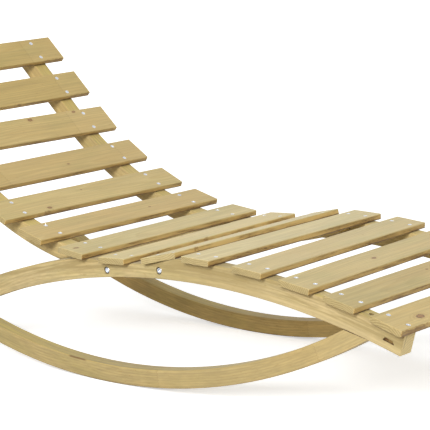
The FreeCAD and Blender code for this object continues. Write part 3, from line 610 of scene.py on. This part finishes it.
def leg_rail_marks(nodes, grain, colour):
    """Near leg rail: olive streaks, a pale lower strip, its pocket, and painted shade in the seam
    of its joint.
    """
    drawn = nodes.noise(nodes.scaled(grain.moved, (8, 8, 130)), 1, 3.0, 0.62)
    upper = nodes.product(nodes.ramp(grain.deep, 0.040, 0.022),
                          nodes.ramp(drawn, 0.40, 0.56), 0.75)
    colour = nodes.mix(upper, colour, RAIL_OLIVE)
    crest = nodes.product(nodes.band(grain.along, 0.04, 0.20, 0.12), 0.45)
    colour = nodes.mix(crest, colour, RAIL_OLIVE)
    edge = nodes.math("ADD", grain.deep, nodes.product(drawn, 0.006))
    strip = nodes.product(nodes.ramp(edge, 0.0360, 0.0390),
                          nodes.ramp(grain.along, -0.05, 0.20), 0.25)
    colour = nodes.mix(strip, colour, RAIL_PALE)
    hollow = nodes.product(nodes.band(grain.along, 0.5755, 0.6068, 0.0006),
                           nodes.band(grain.deep, 0.0229, 0.0325, 0.0003),
                           nodes.ramp(grain.across, -0.0187, -0.0182))
    worn = nodes.noise(nodes.scaled(grain.moved, (120, 120, 120)), 1, 2.0)
    inner = nodes.mix(nodes.ramp(worn, 0.42, 0.62), POCKET_BROWN, EDGE_BROWN)
    colour = nodes.mix(hollow, colour, inner)
    # Painted shade in the groove between the leg rail's lower arris and the rocker
    seam = nodes.product(nodes.ramp(grain.deep, 0.0455, 0.0468),
                         nodes.band(grain.along, 0.480, 0.535, 0.008))
    return nodes.mix(nodes.product(seam, 0.75), colour, WANE_AND_SHADE_DARK)


def end_check(nodes, grain, colour):
    """Drying crack down the near leg rail's foot end."""
    lean = nodes.math("ADD", grain.across, nodes.product(grain.deep, 0.09))
    offset = nodes.math("ADD", lean, nodes.product(nodes.noise(grain.vector, 90, 2.0), 0.004))
    line = nodes.band(offset, -0.0072, -0.0066, 0.0006)
    line = nodes.product(line, nodes.ramp(grain.deep, 0.036, 0.026), 0.7)
    return nodes.mix(line, colour, CRACK_AND_SHADE_BROWN)


def rocker_marks(nodes, grain, colour):
    """Near rocker: a darker stretch on its way up to the foot, and a dark streak on its arris."""
    stretch = nodes.product(nodes.band(grain.along, 0.27, 0.43, 0.10), 0.18)
    colour = nodes.mix(stretch, colour, RAIL_OLIVE)
    streak = nodes.product(nodes.band(grain.along, -0.138, -0.095, 0.010),
                           nodes.ramp(grain.deep, 0.0042, 0.0022),
                           nodes.ramp(grain.across, -0.0145, -0.0170), 0.75)
    return nodes.mix(streak, colour, WANE_AND_SHADE_DARK)


def zinc(name, tint, roughness=0.26):
    """Zinc plated steel with faint cloudiness and fine scratches."""
    material, nodes, shader = new_material(name)
    place = nodes.node("TexCoord").outputs["Object"]
    cloud = nodes.noise(place, 420, 3.0)
    scratch = nodes.noise(nodes.scaled(place, (900, 5200, 2100)), 1, 2.0)
    darker = tuple(part * 0.74 for part in tint[:3]) + (1.0,)
    nodes.plug(shader.inputs["Base Color"], nodes.mix(nodes.ramp(cloud, 0.35, 0.7), tint, darker))
    shader.inputs["Metallic"].default_value = 1.0
    nodes.plug(shader.inputs["Roughness"],
               nodes.ramp(scratch, 0.2, 0.8, roughness - 0.06, roughness + 0.14, "LINEAR"))
    bump = nodes.node("Bump")
    bump.inputs["Strength"].default_value = 0.15
    bump.inputs["Distance"].default_value = 0.0001
    nodes.plug(bump.inputs["Height"], scratch)
    nodes.plug(shader.inputs["Normal"], bump.outputs["Normal"])
    return material


# Rails

RAIL_RING = 0.0062
# How light and how yellow each rail is, as factors of its red, green and blue. The far rocker's
# darker, less blue factors are painted shade from the seat above it.
RAIL_TONES_AND_SHADE = {
    "right_leg_rail": (0.93, 0.96, 1.07), "left_leg_rail": (1.00, 1.00, 1.00),
    "right_rocker": (0.77, 0.77, 0.74), "left_rocker": (0.83, 0.76, 0.58),
    "right_back_rail": (0.92, 0.92, 0.90), "left_back_rail": (0.90, 0.88, 0.80),
}


def rail_locator(curve, y):
    def locate(point):
        run, depth = curve.locate(point.x, point.z)
        return run, point.y - y, depth
    return locate


def rail_along(curve):
    """Direction of the grain at a point in the row's frame."""
    to_drawing = REST.inverted()

    def along(point):
        place = to_drawing @ point
        slope = curve.slope(curve.locate(place.x, place.z)[0])
        direction = Vector((math.cos(slope), 0, math.sin(slope)))
        return (REST.to_3x3() @ direction).normalized()
    return along


def build_rail(name, curve, y, height, runs_at, top_at, seed, cutters=()):
    """Rail swept along its curve.

    runs_at gives the first and last run of the fibre at a depth, and top_at how far the
    top is cut down at a run.
    """
    section = rounded_section(RAIL_THICKNESS, height, EDGE_RADIUS, even(7), even(7))
    length = runs_at(0)[1] - runs_at(0)[0]
    steps = round(length / 0.010)
    shares = [0, RAIL_EASE / length] + even(steps) + [1 - RAIL_EASE / length, 1]
    rings = []
    for index, share in enumerate(shares):
        at_end = index in (0, len(shares) - 1)
        ring = []
        for across, rise in section:
            depth = height - rise
            first, last = runs_at(depth)
            run = first + (last - first) * share
            depth += lowered(rise, height, top_at(run))
            if at_end:
                across *= 1 - 2 * RAIL_EASE / RAIL_THICKNESS
                depth = height / 2 + (depth - height / 2) * (1 - 2 * RAIL_EASE / height)
            x, z = curve.point(run, depth)
            shift = waver((x, y + across, z), RAIL_UNEVEN, seed)
            ring.append((x, y + across + shift * (across / RAIL_THICKNESS), z))
        rings.append(ring)
    rail = skin(rings, name)
    if cutters:
        carve(rail, cutters)
    give_grain(rail, rail_locator(curve, y))
    rail.data.transform(REST)
    return rail


def lowered(rise, height, cut):
    """How far a point of a rail's outline sinks where its top is cut down."""
    flat = height - 2 * EDGE_RADIUS
    return cut * min(max((rise - EDGE_RADIUS) / flat, 0), 1)


def leg_rail_top(run):
    """How deep the seat curve cuts into the leg rail's top."""
    x, z = LEG_CURVE.point(run)
    inside = SEAT_RADIUS - math.hypot(x - SEAT_CURVE.centre[0], z - SEAT_CURVE.centre[1])
    if inside <= 0:
        return 0.0
    slope = LEG_CURVE.slope(run)
    seat_slope = SEAT_CURVE.slope(SEAT_CURVE.locate(x, z)[0])
    return inside / math.cos(slope - seat_slope)


def back_rail_top(run):
    """How deep the leg rail's top line cuts into the back rail's nose."""
    if run < 0.1:
        return 0.0
    x, z = SEAT_CURVE.point(run)
    outside = math.hypot(x - LEG_CURVE.centre[0], z - LEG_CURVE.centre[1]) - LEG_RAIL_RADIUS
    if outside <= 0:
        return 0.0
    slope = SEAT_CURVE.slope(run)
    return outside / math.cos(slope - LEG_CURVE.slope(LEG_CURVE.locate(x, z)[0]))


def leg_rail_runs(depth):
    """First and last run of a leg rail's fibre, whose tail end stands on the rocker's top."""
    top = ROCKER_RADIUS - ROCKER_HEIGHT - JOINT_GAP
    tail = circle_run(LEG_CURVE, LEG_RAIL_RADIUS - depth, ROCKER_CURVE, top, -1)
    return tail, LEG_RAIL_FOOT_RUN


def rocker_runs(depth):
    """First and last run of a rocker's fibre, whose foot end lies under the leg rail."""
    radius = ROCKER_RADIUS - ROCKER_HEIGHT + depth
    under = LEG_RAIL_RADIUS - LEG_RAIL_HEIGHT - JOINT_GAP
    return -ROCKER_TAIL_RUN, circle_run(ROCKER_CURVE, radius, LEG_CURVE, under, 1)


def bolt_recesses(y, outward, depth):
    """Cutters for the recesses and bores of one rail's two bolts, in the side drawing."""
    cutters = []
    for station in BOLT_STATIONS:
        x, z = SEAT_CURVE.point(station, BOLT_DEPTH)
        face = y + outward * RAIL_THICKNESS / 2
        start = Vector((x, face + outward * CLEAR, z))
        inward = -outward * ACROSS
        cutters.append(drill(start, inward, depth + CLEAR, BOLT_RECESS_RADIUS))
        cutters.append(drill(start, inward, 2 * RAIL_THICKNESS, BOLT_BORE_RADIUS, 24))
    return cutters


def joint_recess(y, side):
    """Cutter for the hole of a joint's screw, from the screws' node.

    At the foot (side 1) the screw's head is at its upper end, at the tail at its lower end.
    """
    to_drawing = REST.inverted()
    points = [to_drawing @ v.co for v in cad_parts["rocker_joint_screws"].data.vertices]
    screw = [p for p in points if p.x * side > 0 and p.y * y > 0]
    head = max(screw, key=lambda p: p.z * side)
    tip = min(screw, key=lambda p: p.z * side)
    rim = [p for p in screw if (p - head).length < JOINT_HEAD_REACH]
    middle = sum(rim, Vector()) / len(rim)
    outward = (middle - tip).normalized()
    return drill(middle, outward, JOINT_RECESS_LENGTH, JOINT_RECESS_RADIUS, 32)


def pocket(y, outward):
    """Cutter for the small pocket in a leg rail's face."""
    corners = [LEG_CURVE.point(run, depth) for run, depth in POCKET]
    face = y + outward * RAIL_THICKNESS / 2
    reaches = (face + outward * CLEAR, face - outward * POCKET_DEPTH)
    return skin([[(x, reach, z) for x, z in corners] for reach in reaches], "pocket")


def dress_rail(rail, node, curve, material, end_material):
    smooth(rail)
    rail.data.materials.append(material)
    mark_ends(rail, end_material, rail_along(curve))
    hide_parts(node)
    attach(rail, "root")


def build_side(side, word):
    """Leg rail, rocker and back rail of one side of the lounger."""
    leg_y, back_y = side * LEG_RAIL_Y, side * BACK_RAIL_Y
    near = side < 0
    seed = 3 if near else 11
    leg_cutters = bolt_recesses(leg_y, side, BOLT_HEAD_RECESS) + [joint_recess(leg_y, 1)]
    if near:
        leg_cutters.append(pocket(leg_y, side))
    leg = build_rail(f"{word}_leg_rail_timber", LEG_CURVE, leg_y, LEG_RAIL_HEIGHT,
                     leg_rail_runs, leg_rail_top, seed, leg_cutters)
    rocker = build_rail(f"{word}_rocker_timber", ROCKER_CURVE, leg_y, ROCKER_HEIGHT,
                        rocker_runs, lambda run: 0.0, seed + 1, [joint_recess(leg_y, -1)])
    back = build_rail(f"{word}_back_rail_timber", SEAT_CURVE, back_y, BACK_RAIL_HEIGHT,
                      lambda depth: (-BACK_RAIL_HEAD_RUN, BACK_RAIL_NOSE_RUN), back_rail_top,
                      seed + 2, bolt_recesses(back_y, -side, BOLT_NUT_RECESS))
    rocker_joints = cross_joints((0.136, 0.605) if near else (0.139,))
    pieces = ((leg, "leg_rail", LEG_CURVE, (0.02, 0.085), (leg_rail_marks,) if near else ()),
              (rocker, "rocker", ROCKER_CURVE, (-0.03, -0.06),
               (rocker_joints, rocker_marks) if near else (rocker_joints,)),
              (back, "back_rail", SEAT_CURVE, (0.05, 0.05), (cross_joints((-0.55,)),)))
    for index, (rail, kind, curve, pith, marks) in enumerate(pieces):
        name = f"{word}_{kind}"
        number = seed + index
        tone_and_light = RAIL_TONES_AND_SHADE[name]
        side_wood = timber(name + "_pine", number, RAIL_EARLY, RAIL_LATE, pith, RAIL_RING, tone_and_light,
                           paints=(rail_wear_and_shade,) + marks)
        end_wood = timber(name + "_end", number, RAIL_EARLY, RAIL_LATE, pith, RAIL_RING, tone_and_light,
                          paints=(end_check,) if name == "right_leg_rail" else (),
                          end=(RAIL_END_GRAIN, RAIL_END_RING))
        dress_rail(rail, name, curve, side_wood, end_wood)


# Slats

# Where the knots are on the tops of the slats: along, across and radius
KNOTS = {
    "back_slat_3": [(0.044, -0.030, 0.0042), (0.198, -0.034, 0.0032)],
    "back_slat_4": [(0.043, 0.007, 0.0022)],
    "back_slat_5": [(-0.150, 0.028, 0.0036), (-0.006, -0.017, 0.0015)],
    "back_slat_6": [(0.095, 0.000, 0.0020)],
    "back_slat_7": [(-0.274, -0.006, 0.0040)],
    "seat_slat_1": [(-0.031, -0.032, 0.0022)],
    "leg_slat_3": [(-0.020, 0.000, 0.0040)],
    "leg_slat_4": [(0.020, -0.012, 0.0020)],
    "leg_slat_5": [(-0.203, 0.013, 0.0065), (0.060, -0.020, 0.0030)],
}

# Dark chips along the front arris of some slats: places and lengths
EDGE_MARKS = {
    "back_slat_1": [(0.262, 0.050)],
    "back_slat_2": [(0.045, 0.018), (0.262, 0.055)],
    "back_slat_5": [(-0.160, 0.024)],
    "seat_slat_1": [(-0.027, 0.012)],
    "seat_slat_2": [(-0.203, 0.010)],
    "leg_slat_5": [(-0.280, 0.028), (-0.235, 0.036)],
}

# How light and how yellow each slat is, as factors of its red, green and blue. Besides each slat's
# own colour these carry painted light: darker factors on the back slats for painted shade where
# they turn from the light, and paler, bluer factors on the flattest slats of the seat for a
# painted sheen seen at a grazing view.
SLAT_TONES_AND_LIGHT = {
    "back_slat_1": (0.88, 0.86, 0.78), "back_slat_2": (0.87, 0.85, 0.77),
    "back_slat_3": (0.91, 0.91, 0.92), "back_slat_4": (0.87, 0.84, 0.81),
    "back_slat_5": (0.96, 0.98, 1.02), "back_slat_6": (0.94, 0.93, 0.93),
    "back_slat_7": (1.01, 1.08, 1.21), "seat_slat_1": (1.17, 1.25, 1.43),
    "seat_slat_2": (1.13, 1.22, 1.40), "leg_slat_1": (1.11, 1.22, 1.50),
    "leg_slat_2": (1.02, 1.08, 1.26), "leg_slat_3": (0.98, 1.02, 1.12),
    "leg_slat_4": (0.87, 0.89, 0.92), "leg_slat_5": (0.95, 0.95, 0.95),
}

# Finger joints across some slats, as places along them
SLAT_JOINTS = {"back_slat_1": (0.188,), "back_slat_2": (0.213,), "back_slat_3": (0.169,),
               "back_slat_4": (0.228, -0.173)}

# How far back the front corner of a slat's near end is cut, and where the slant begins
SLANTED_ENDS = {"seat_slat_2": 0.027}
SLANT_LENGTH = 0.034

# The corners of a slat's end lie this close to its end, and about this far from the furthest.
# The slats lie slightly askew, so their ends aren't square to the frame.
END_CATCH = 0.0052
CORNER_CATCH = 0.002

# Distances from a screw's axis at which a slat's mesh has lines, and their closest spacing
DENT_LINES = (0.0, 0.0012, 0.0024, 0.0036, 0.0046, 0.0056, 0.0070, 0.0090)
CLOSEST_LINES = 0.0009


def slat_frame(node):
    """Matrix of a slat: X over its width, Y along it, Z up, from the middle of its underside."""
    points = [v.co.copy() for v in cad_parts[node].data.vertices]
    ends = []
    for side in (-1, 1):
        face = [p for p in points if p.y * side > SLAT_LENGTH / 2 - END_CATCH]
        ends.append(sum(face, Vector()) / len(face))
    middle = (ends[0] + ends[1]) / 2
    along = (ends[1] - ends[0]).normalized()
    face = [p - ends[1] for p in points if (p - ends[1]).dot(along) > -0.001]
    furthest = max(p.length for p in face)
    corners = [p for p in face if p.length > furthest - CORNER_CATCH]
    across = Vector()
    for corner in corners:
        across += corner if corner.x > 0 else -corner
    across = (across - across.dot(along) * along).normalized()
    up = across.cross(along)
    low = middle - up * (SLAT_THICKNESS / 2)
    turn = Matrix((across, along, up)).transposed().to_4x4()
    return Matrix.Translation(low) @ turn


def slat_lines(places, limit, wide_step):
    """Positions along one direction of a slat, dense about the screws."""
    lines = {round(-limit + i * wide_step, 5) for i in range(int(2 * limit / wide_step) + 1)}
    lines |= {limit}
    for place in places:
        for offset in DENT_LINES:
            lines |= {round(place - offset, 5), round(place + offset, 5)}
    kept = []
    for line in sorted(lines):
        if abs(line) <= limit and (not kept or line - kept[-1] > CLOSEST_LINES):
            kept.append(line)
    return kept


def screw_dent(across, along, screws):
    """How far the wood is pressed in round the screws."""
    dent = 0.0
    for x, y in screws:
        distance = math.hypot(across - x, along - y)
        share = min(max((DENT_REACH - distance) / (DENT_REACH - DENT_CORE), 0), 1)
        dent = max(dent, share * share * (3 - 2 * share))
    return dent * DENT_DEPTH


def cut_back(across, line, slant):
    """How far a point moves towards the slat's middle, where its near end is slanted."""
    share = max(-line - (SLAT_LENGTH / 2 - SLANT_LENGTH), 0) / SLANT_LENGTH
    return slant * share * (across / SLAT_WIDTH + 0.5)


def build_slat(node, inset, seed):
    """Slat with rounded long edges, eased ends, seated screws and slightly uneven planing."""
    place = slat_frame(node)
    screw_x = (-SCREW_SPREAD / 2, SCREW_SPREAD / 2)
    screw_y = (-(SLAT_LENGTH / 2 - inset), SLAT_LENGTH / 2 - inset)
    screws = [(x, y) for x in screw_x for y in screw_y]
    half = SLAT_WIDTH / 2 - SLAT_EDGE_RADIUS
    top_lines = slat_lines(screw_x, half - 0.001, 0.008)
    top_cuts = [(half - x) / (2 * half) for x in reversed(top_lines)]
    section = rounded_section(SLAT_WIDTH, SLAT_THICKNESS, SLAT_EDGE_RADIUS, top_cuts, even(2), 5)
    edge = SLAT_LENGTH / 2
    eased = edge - SLAT_EASE
    lines = [-edge, -eased] + slat_lines(screw_y, edge - 0.004, 0.012) + [eased, edge]
    slant = SLANTED_ENDS.get(node, 0.0)
    rings = []
    for line in lines:
        at_end = abs(line) > eased
        ring = []
        for across, rise in section:
            if at_end:
                across *= 1 - 2 * SLAT_EASE / SLAT_WIDTH
                rise += (SLAT_THICKNESS / 2 - rise) * 2 * SLAT_EASE / SLAT_THICKNESS
            if rise > SLAT_THICKNESS - 0.0004:
                rise -= screw_dent(across, line, screws)
            shift = waver((across * 2, line * 0.6, rise), SLAT_UNEVEN_TOP, seed)
            side_shift = waver((across, line * 0.8, rise + 0.5), SLAT_UNEVEN_EDGE, seed)
            top_share = rise / SLAT_THICKNESS
            ring.append((across + side_shift * across / SLAT_WIDTH,
                         line + cut_back(across, line, slant), rise + shift * 0.6 * top_share))
        rings.append(ring)
    slat = skin(rings, node + "_board")
    give_grain(slat, lambda point: (point.y, point.x, point.z - SLAT_THICKNESS))
    slat.data.transform(place)
    smooth(slat, 40)
    rng = random.Random(seed)
    pith = (rng.uniform(-0.05, 0.05), rng.choice((-1, 1)) * rng.uniform(0.03, 0.09))
    ring = rng.uniform(0.0032, 0.0052)
    paints = (cross_joints(SLAT_JOINTS.get(node, ())), slat_edges,
              edge_marks(EDGE_MARKS.get(node, ())))
    wood = (seed, EARLY_WOOD, LATE_WOOD, pith, ring, SLAT_TONES_AND_LIGHT[node])
    slat.data.materials.append(timber(node + "_pine", *wood, KNOTS.get(node, ()), paints))
    along = place.to_3x3() @ ACROSS
    end_wood = timber(node + "_end", *wood, end=(END_GRAIN, END_RING))
    mark_ends(slat, end_wood, lambda point: along)
    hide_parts(node)
    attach(slat, "root")
    return place, screws


# Screws

def screw_mesh():
    """Raised countersunk head with a cross recess, and the top of its shank, seat at Z = 0."""
    bm = bmesh.new()
    radius = SCREW_HEAD_RADIUS
    outline = [(radius * 0.25, 0.00085), (radius * 0.5, 0.00076), (radius * 0.75, 0.00052),
               (radius * 0.93, 0.0002), (radius, 0.0), (radius * 0.985, -0.0003),
               (radius * 0.5, -0.0024), (radius * 0.5, -0.010)]
    segments = 36
    angles = [2 * math.pi * i / segments for i in range(segments)]
    rows = []
    for reach, height in outline:
        rows.append([bm.verts.new((reach * math.cos(angle), reach * math.sin(angle), height))
                     for angle in angles])
    for row, after in zip(rows, rows[1:]):
        for i in range(segments):
            j = (i + 1) % segments
            bm.faces.new((row[i], row[j], after[j], after[i]))
    bm.faces.new(rows[0])
    bm.faces.new(reversed(rows[-1]))
    head = object_from(bm, "screw_head")
    cross_length, cross_width, cross_top, cross_bottom = 0.0044, 0.00115, 0.0012, -0.0014
    cutters = []
    for turn in (0, 90):
        bar = bmesh.new()
        bmesh.ops.create_cube(bar, size=1)
        for vertex in bar.verts:
            low = vertex.co.z < 0
            taper = 0.45 if low else 1.0
            vertex.co = Vector((vertex.co.x * cross_length * taper,
                                vertex.co.y * cross_width * taper,
                                cross_bottom if low else cross_top))
        bmesh.ops.rotate(bar, verts=bar.verts, matrix=Matrix.Rotation(math.radians(turn), 3, "Z"))
        cutters.append(object_from(bar, "cross"))
    return carve(head, cutters)


def build_screws(name, node, places, prototype, material, seed):
    """One object with a copy of the screw at each place, each turned its own way."""
    rng = random.Random(seed)
    bm = bmesh.new()
    for place in places:
        copy = prototype.data.copy()
        tilt = Matrix.Rotation(math.radians(rng.uniform(-3, 3)), 4, "X")
        copy.transform(place @ tilt @ Matrix.Rotation(rng.uniform(0, math.pi), 4, "Z"))
        bm.from_mesh(copy)
        bpy.data.meshes.remove(copy)
    screws = object_from(bm, name)
    smooth(screws, 35)
    screws.data.materials.append(material)
    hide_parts(node)
    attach(screws, "root")


def build_slats_and_screws():
    prototype = screw_mesh()
    groups = ((BACK_SLATS, BACK_SCREW_INSET, "back_slat_screws"),
              (SEAT_SLATS, SEAT_SCREW_INSET, "seat_slat_screws"))
    seed = 20
    for names, inset, node in groups:
        places = []
        for name in names:
            seed += 1
            place, screws = build_slat(name, inset, seed)
            for x, y in screws:
                seat = Vector((x, y, SLAT_THICKNESS - SCREW_SINK))
                places.append(place @ Matrix.Translation(seat))
        metal = zinc(node + "_zinc", SCREW_TINT)
        build_screws(node + "_heads", node, places, prototype, metal, seed)
    bpy.data.objects.remove(prototype)


def dress_fasteners():
    """Bolts, washers, nuts and joint screws stay as the CAD made them."""
    for node, roughness in (("rail_bolts", 0.22), ("rail_bolt_washers", 0.3),
                            ("rail_bolt_nuts", 0.3), ("rocker_joint_screws", 0.35)):
        material = zinc(node + "_zinc", BOLT_TINT, roughness)
        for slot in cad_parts[node].material_slots:
            slot.material = material


# Studio

CAMERA_PLACE = Vector((2.9685, -3.1641, 1.1409))
CAMERA_AZIMUTH = math.radians(-42.508)
CAMERA_ELEVATION = math.radians(-10.48)
CAMERA_ROLL = math.radians(-2.972)
CAMERA_LENS = 157.89
FLOOR_WHITE = shade(247, 250, 254)
FLOOR_SPECKLE = shade(243, 246, 250)
FLOOR_BOUNCE = shade(190, 177, 150)
FLOOR_Z = -0.0004
FLOOR_GLOW_NEAR = 0.50
FLOOR_GLOW_FAR = 0.85
FILL_TINT = (1.0, 0.98, 0.93, 1.0)


def set_camera():
    ahead = Vector((math.sin(CAMERA_AZIMUTH) * math.cos(CAMERA_ELEVATION),
                    math.cos(CAMERA_AZIMUTH) * math.cos(CAMERA_ELEVATION),
                    math.sin(CAMERA_ELEVATION)))
    level = ahead.cross(Vector((0, 0, 1))).normalized()
    upright = level.cross(ahead)
    right = math.cos(CAMERA_ROLL) * level + math.sin(CAMERA_ROLL) * upright
    up = right.cross(ahead)
    turn = Matrix((right, up, -ahead)).transposed().to_4x4()
    data = bpy.data.cameras.new("camera")
    data.lens = CAMERA_LENS
    data.sensor_width = 36
    data.clip_end = 60
    camera = link(bpy.data.objects.new("camera", data))
    camera.matrix_world = Matrix.Translation(CAMERA_PLACE) @ turn
    bpy.context.scene.camera = camera


def area_light(name, place, target, size, power):
    data = bpy.data.lights.new(name, "AREA")
    data.shape = "DISK"
    data.size = size
    data.energy = power
    lamp = link(bpy.data.objects.new(name, data))
    lamp.location = place
    lamp.rotation_euler = (Vector(target) - Vector(place)).to_track_quat("-Z", "Y").to_euler()


def white_rays(nodes):
    """1 for rays that show the background: seen by the camera, mirrored or through glass."""
    rays = nodes.node("LightPath").outputs
    shown = nodes.math("MAXIMUM", rays["Is Camera Ray"], rays["Is Glossy Ray"])
    return nodes.math("MAXIMUM", shown, rays["Is Transmission Ray"])


def set_world(low, high):
    """White where it is seen. The light it gives grows from low at the horizon to high above."""
    world = bpy.data.worlds.new("studio")
    world.use_nodes = True
    nodes = Nodes(world.node_tree)
    height = nodes.split(nodes.node("TexCoord").outputs["Generated"])[2]
    sky = nodes.ramp(height, 0.0, 0.9, low, high)
    shown = white_rays(nodes)
    background = nodes.tree.nodes["Background"]
    nodes.plug(background.inputs["Strength"], nodes.math("MAXIMUM", sky, shown))
    nodes.plug(background.inputs["Color"], nodes.mix(shown, FILL_TINT, (1, 1, 1, 1)))
    bpy.context.scene.world = world


def build_floor():
    """Pale floor. Its glow is seen but lights nothing, so it looks white and keeps its shadows."""
    bm = bmesh.new()
    bmesh.ops.create_grid(bm, x_segments=1, y_segments=1, size=40)
    floor = object_from(bm, "studio_floor")
    floor.location = (0, 0, FLOOR_Z)
    material, nodes, shader = new_material("floor_white")
    place = nodes.node("TexCoord").outputs["Object"]
    speckle = nodes.noise(place, 14, 3.0)
    shown = white_rays(nodes)
    white = nodes.mix(speckle, FLOOR_WHITE, FLOOR_SPECKLE)
    nodes.plug(shader.inputs["Base Color"], nodes.mix(shown, FLOOR_BOUNCE, white))
    glow = nodes.ramp(nodes.vector("LENGTH", place), 1.2, 6.0, FLOOR_GLOW_NEAR, FLOOR_GLOW_FAR)
    shader.inputs["Emission Color"].default_value = (1, 1, 1, 1)
    nodes.plug(shader.inputs["Emission Strength"], nodes.math("MULTIPLY", glow, shown))
    shader.inputs["Roughness"].default_value = 0.9
    shader.inputs["Specular IOR Level"].default_value = 0.1
    floor.data.materials.append(material)


def light_studio():
    area_light("key", place=(3.8, -7.7, 4.3), target=(0, 0, 0.3), size=3.4, power=890)
    set_world(low=0.20, high=0.72)


set_camera()
light_studio()
build_floor()
build_side(-1, "right")
build_side(1, "left")
build_slats_and_screws()
dress_fasteners()

scene = bpy.context.scene
scene.view_settings.view_transform = "Standard"
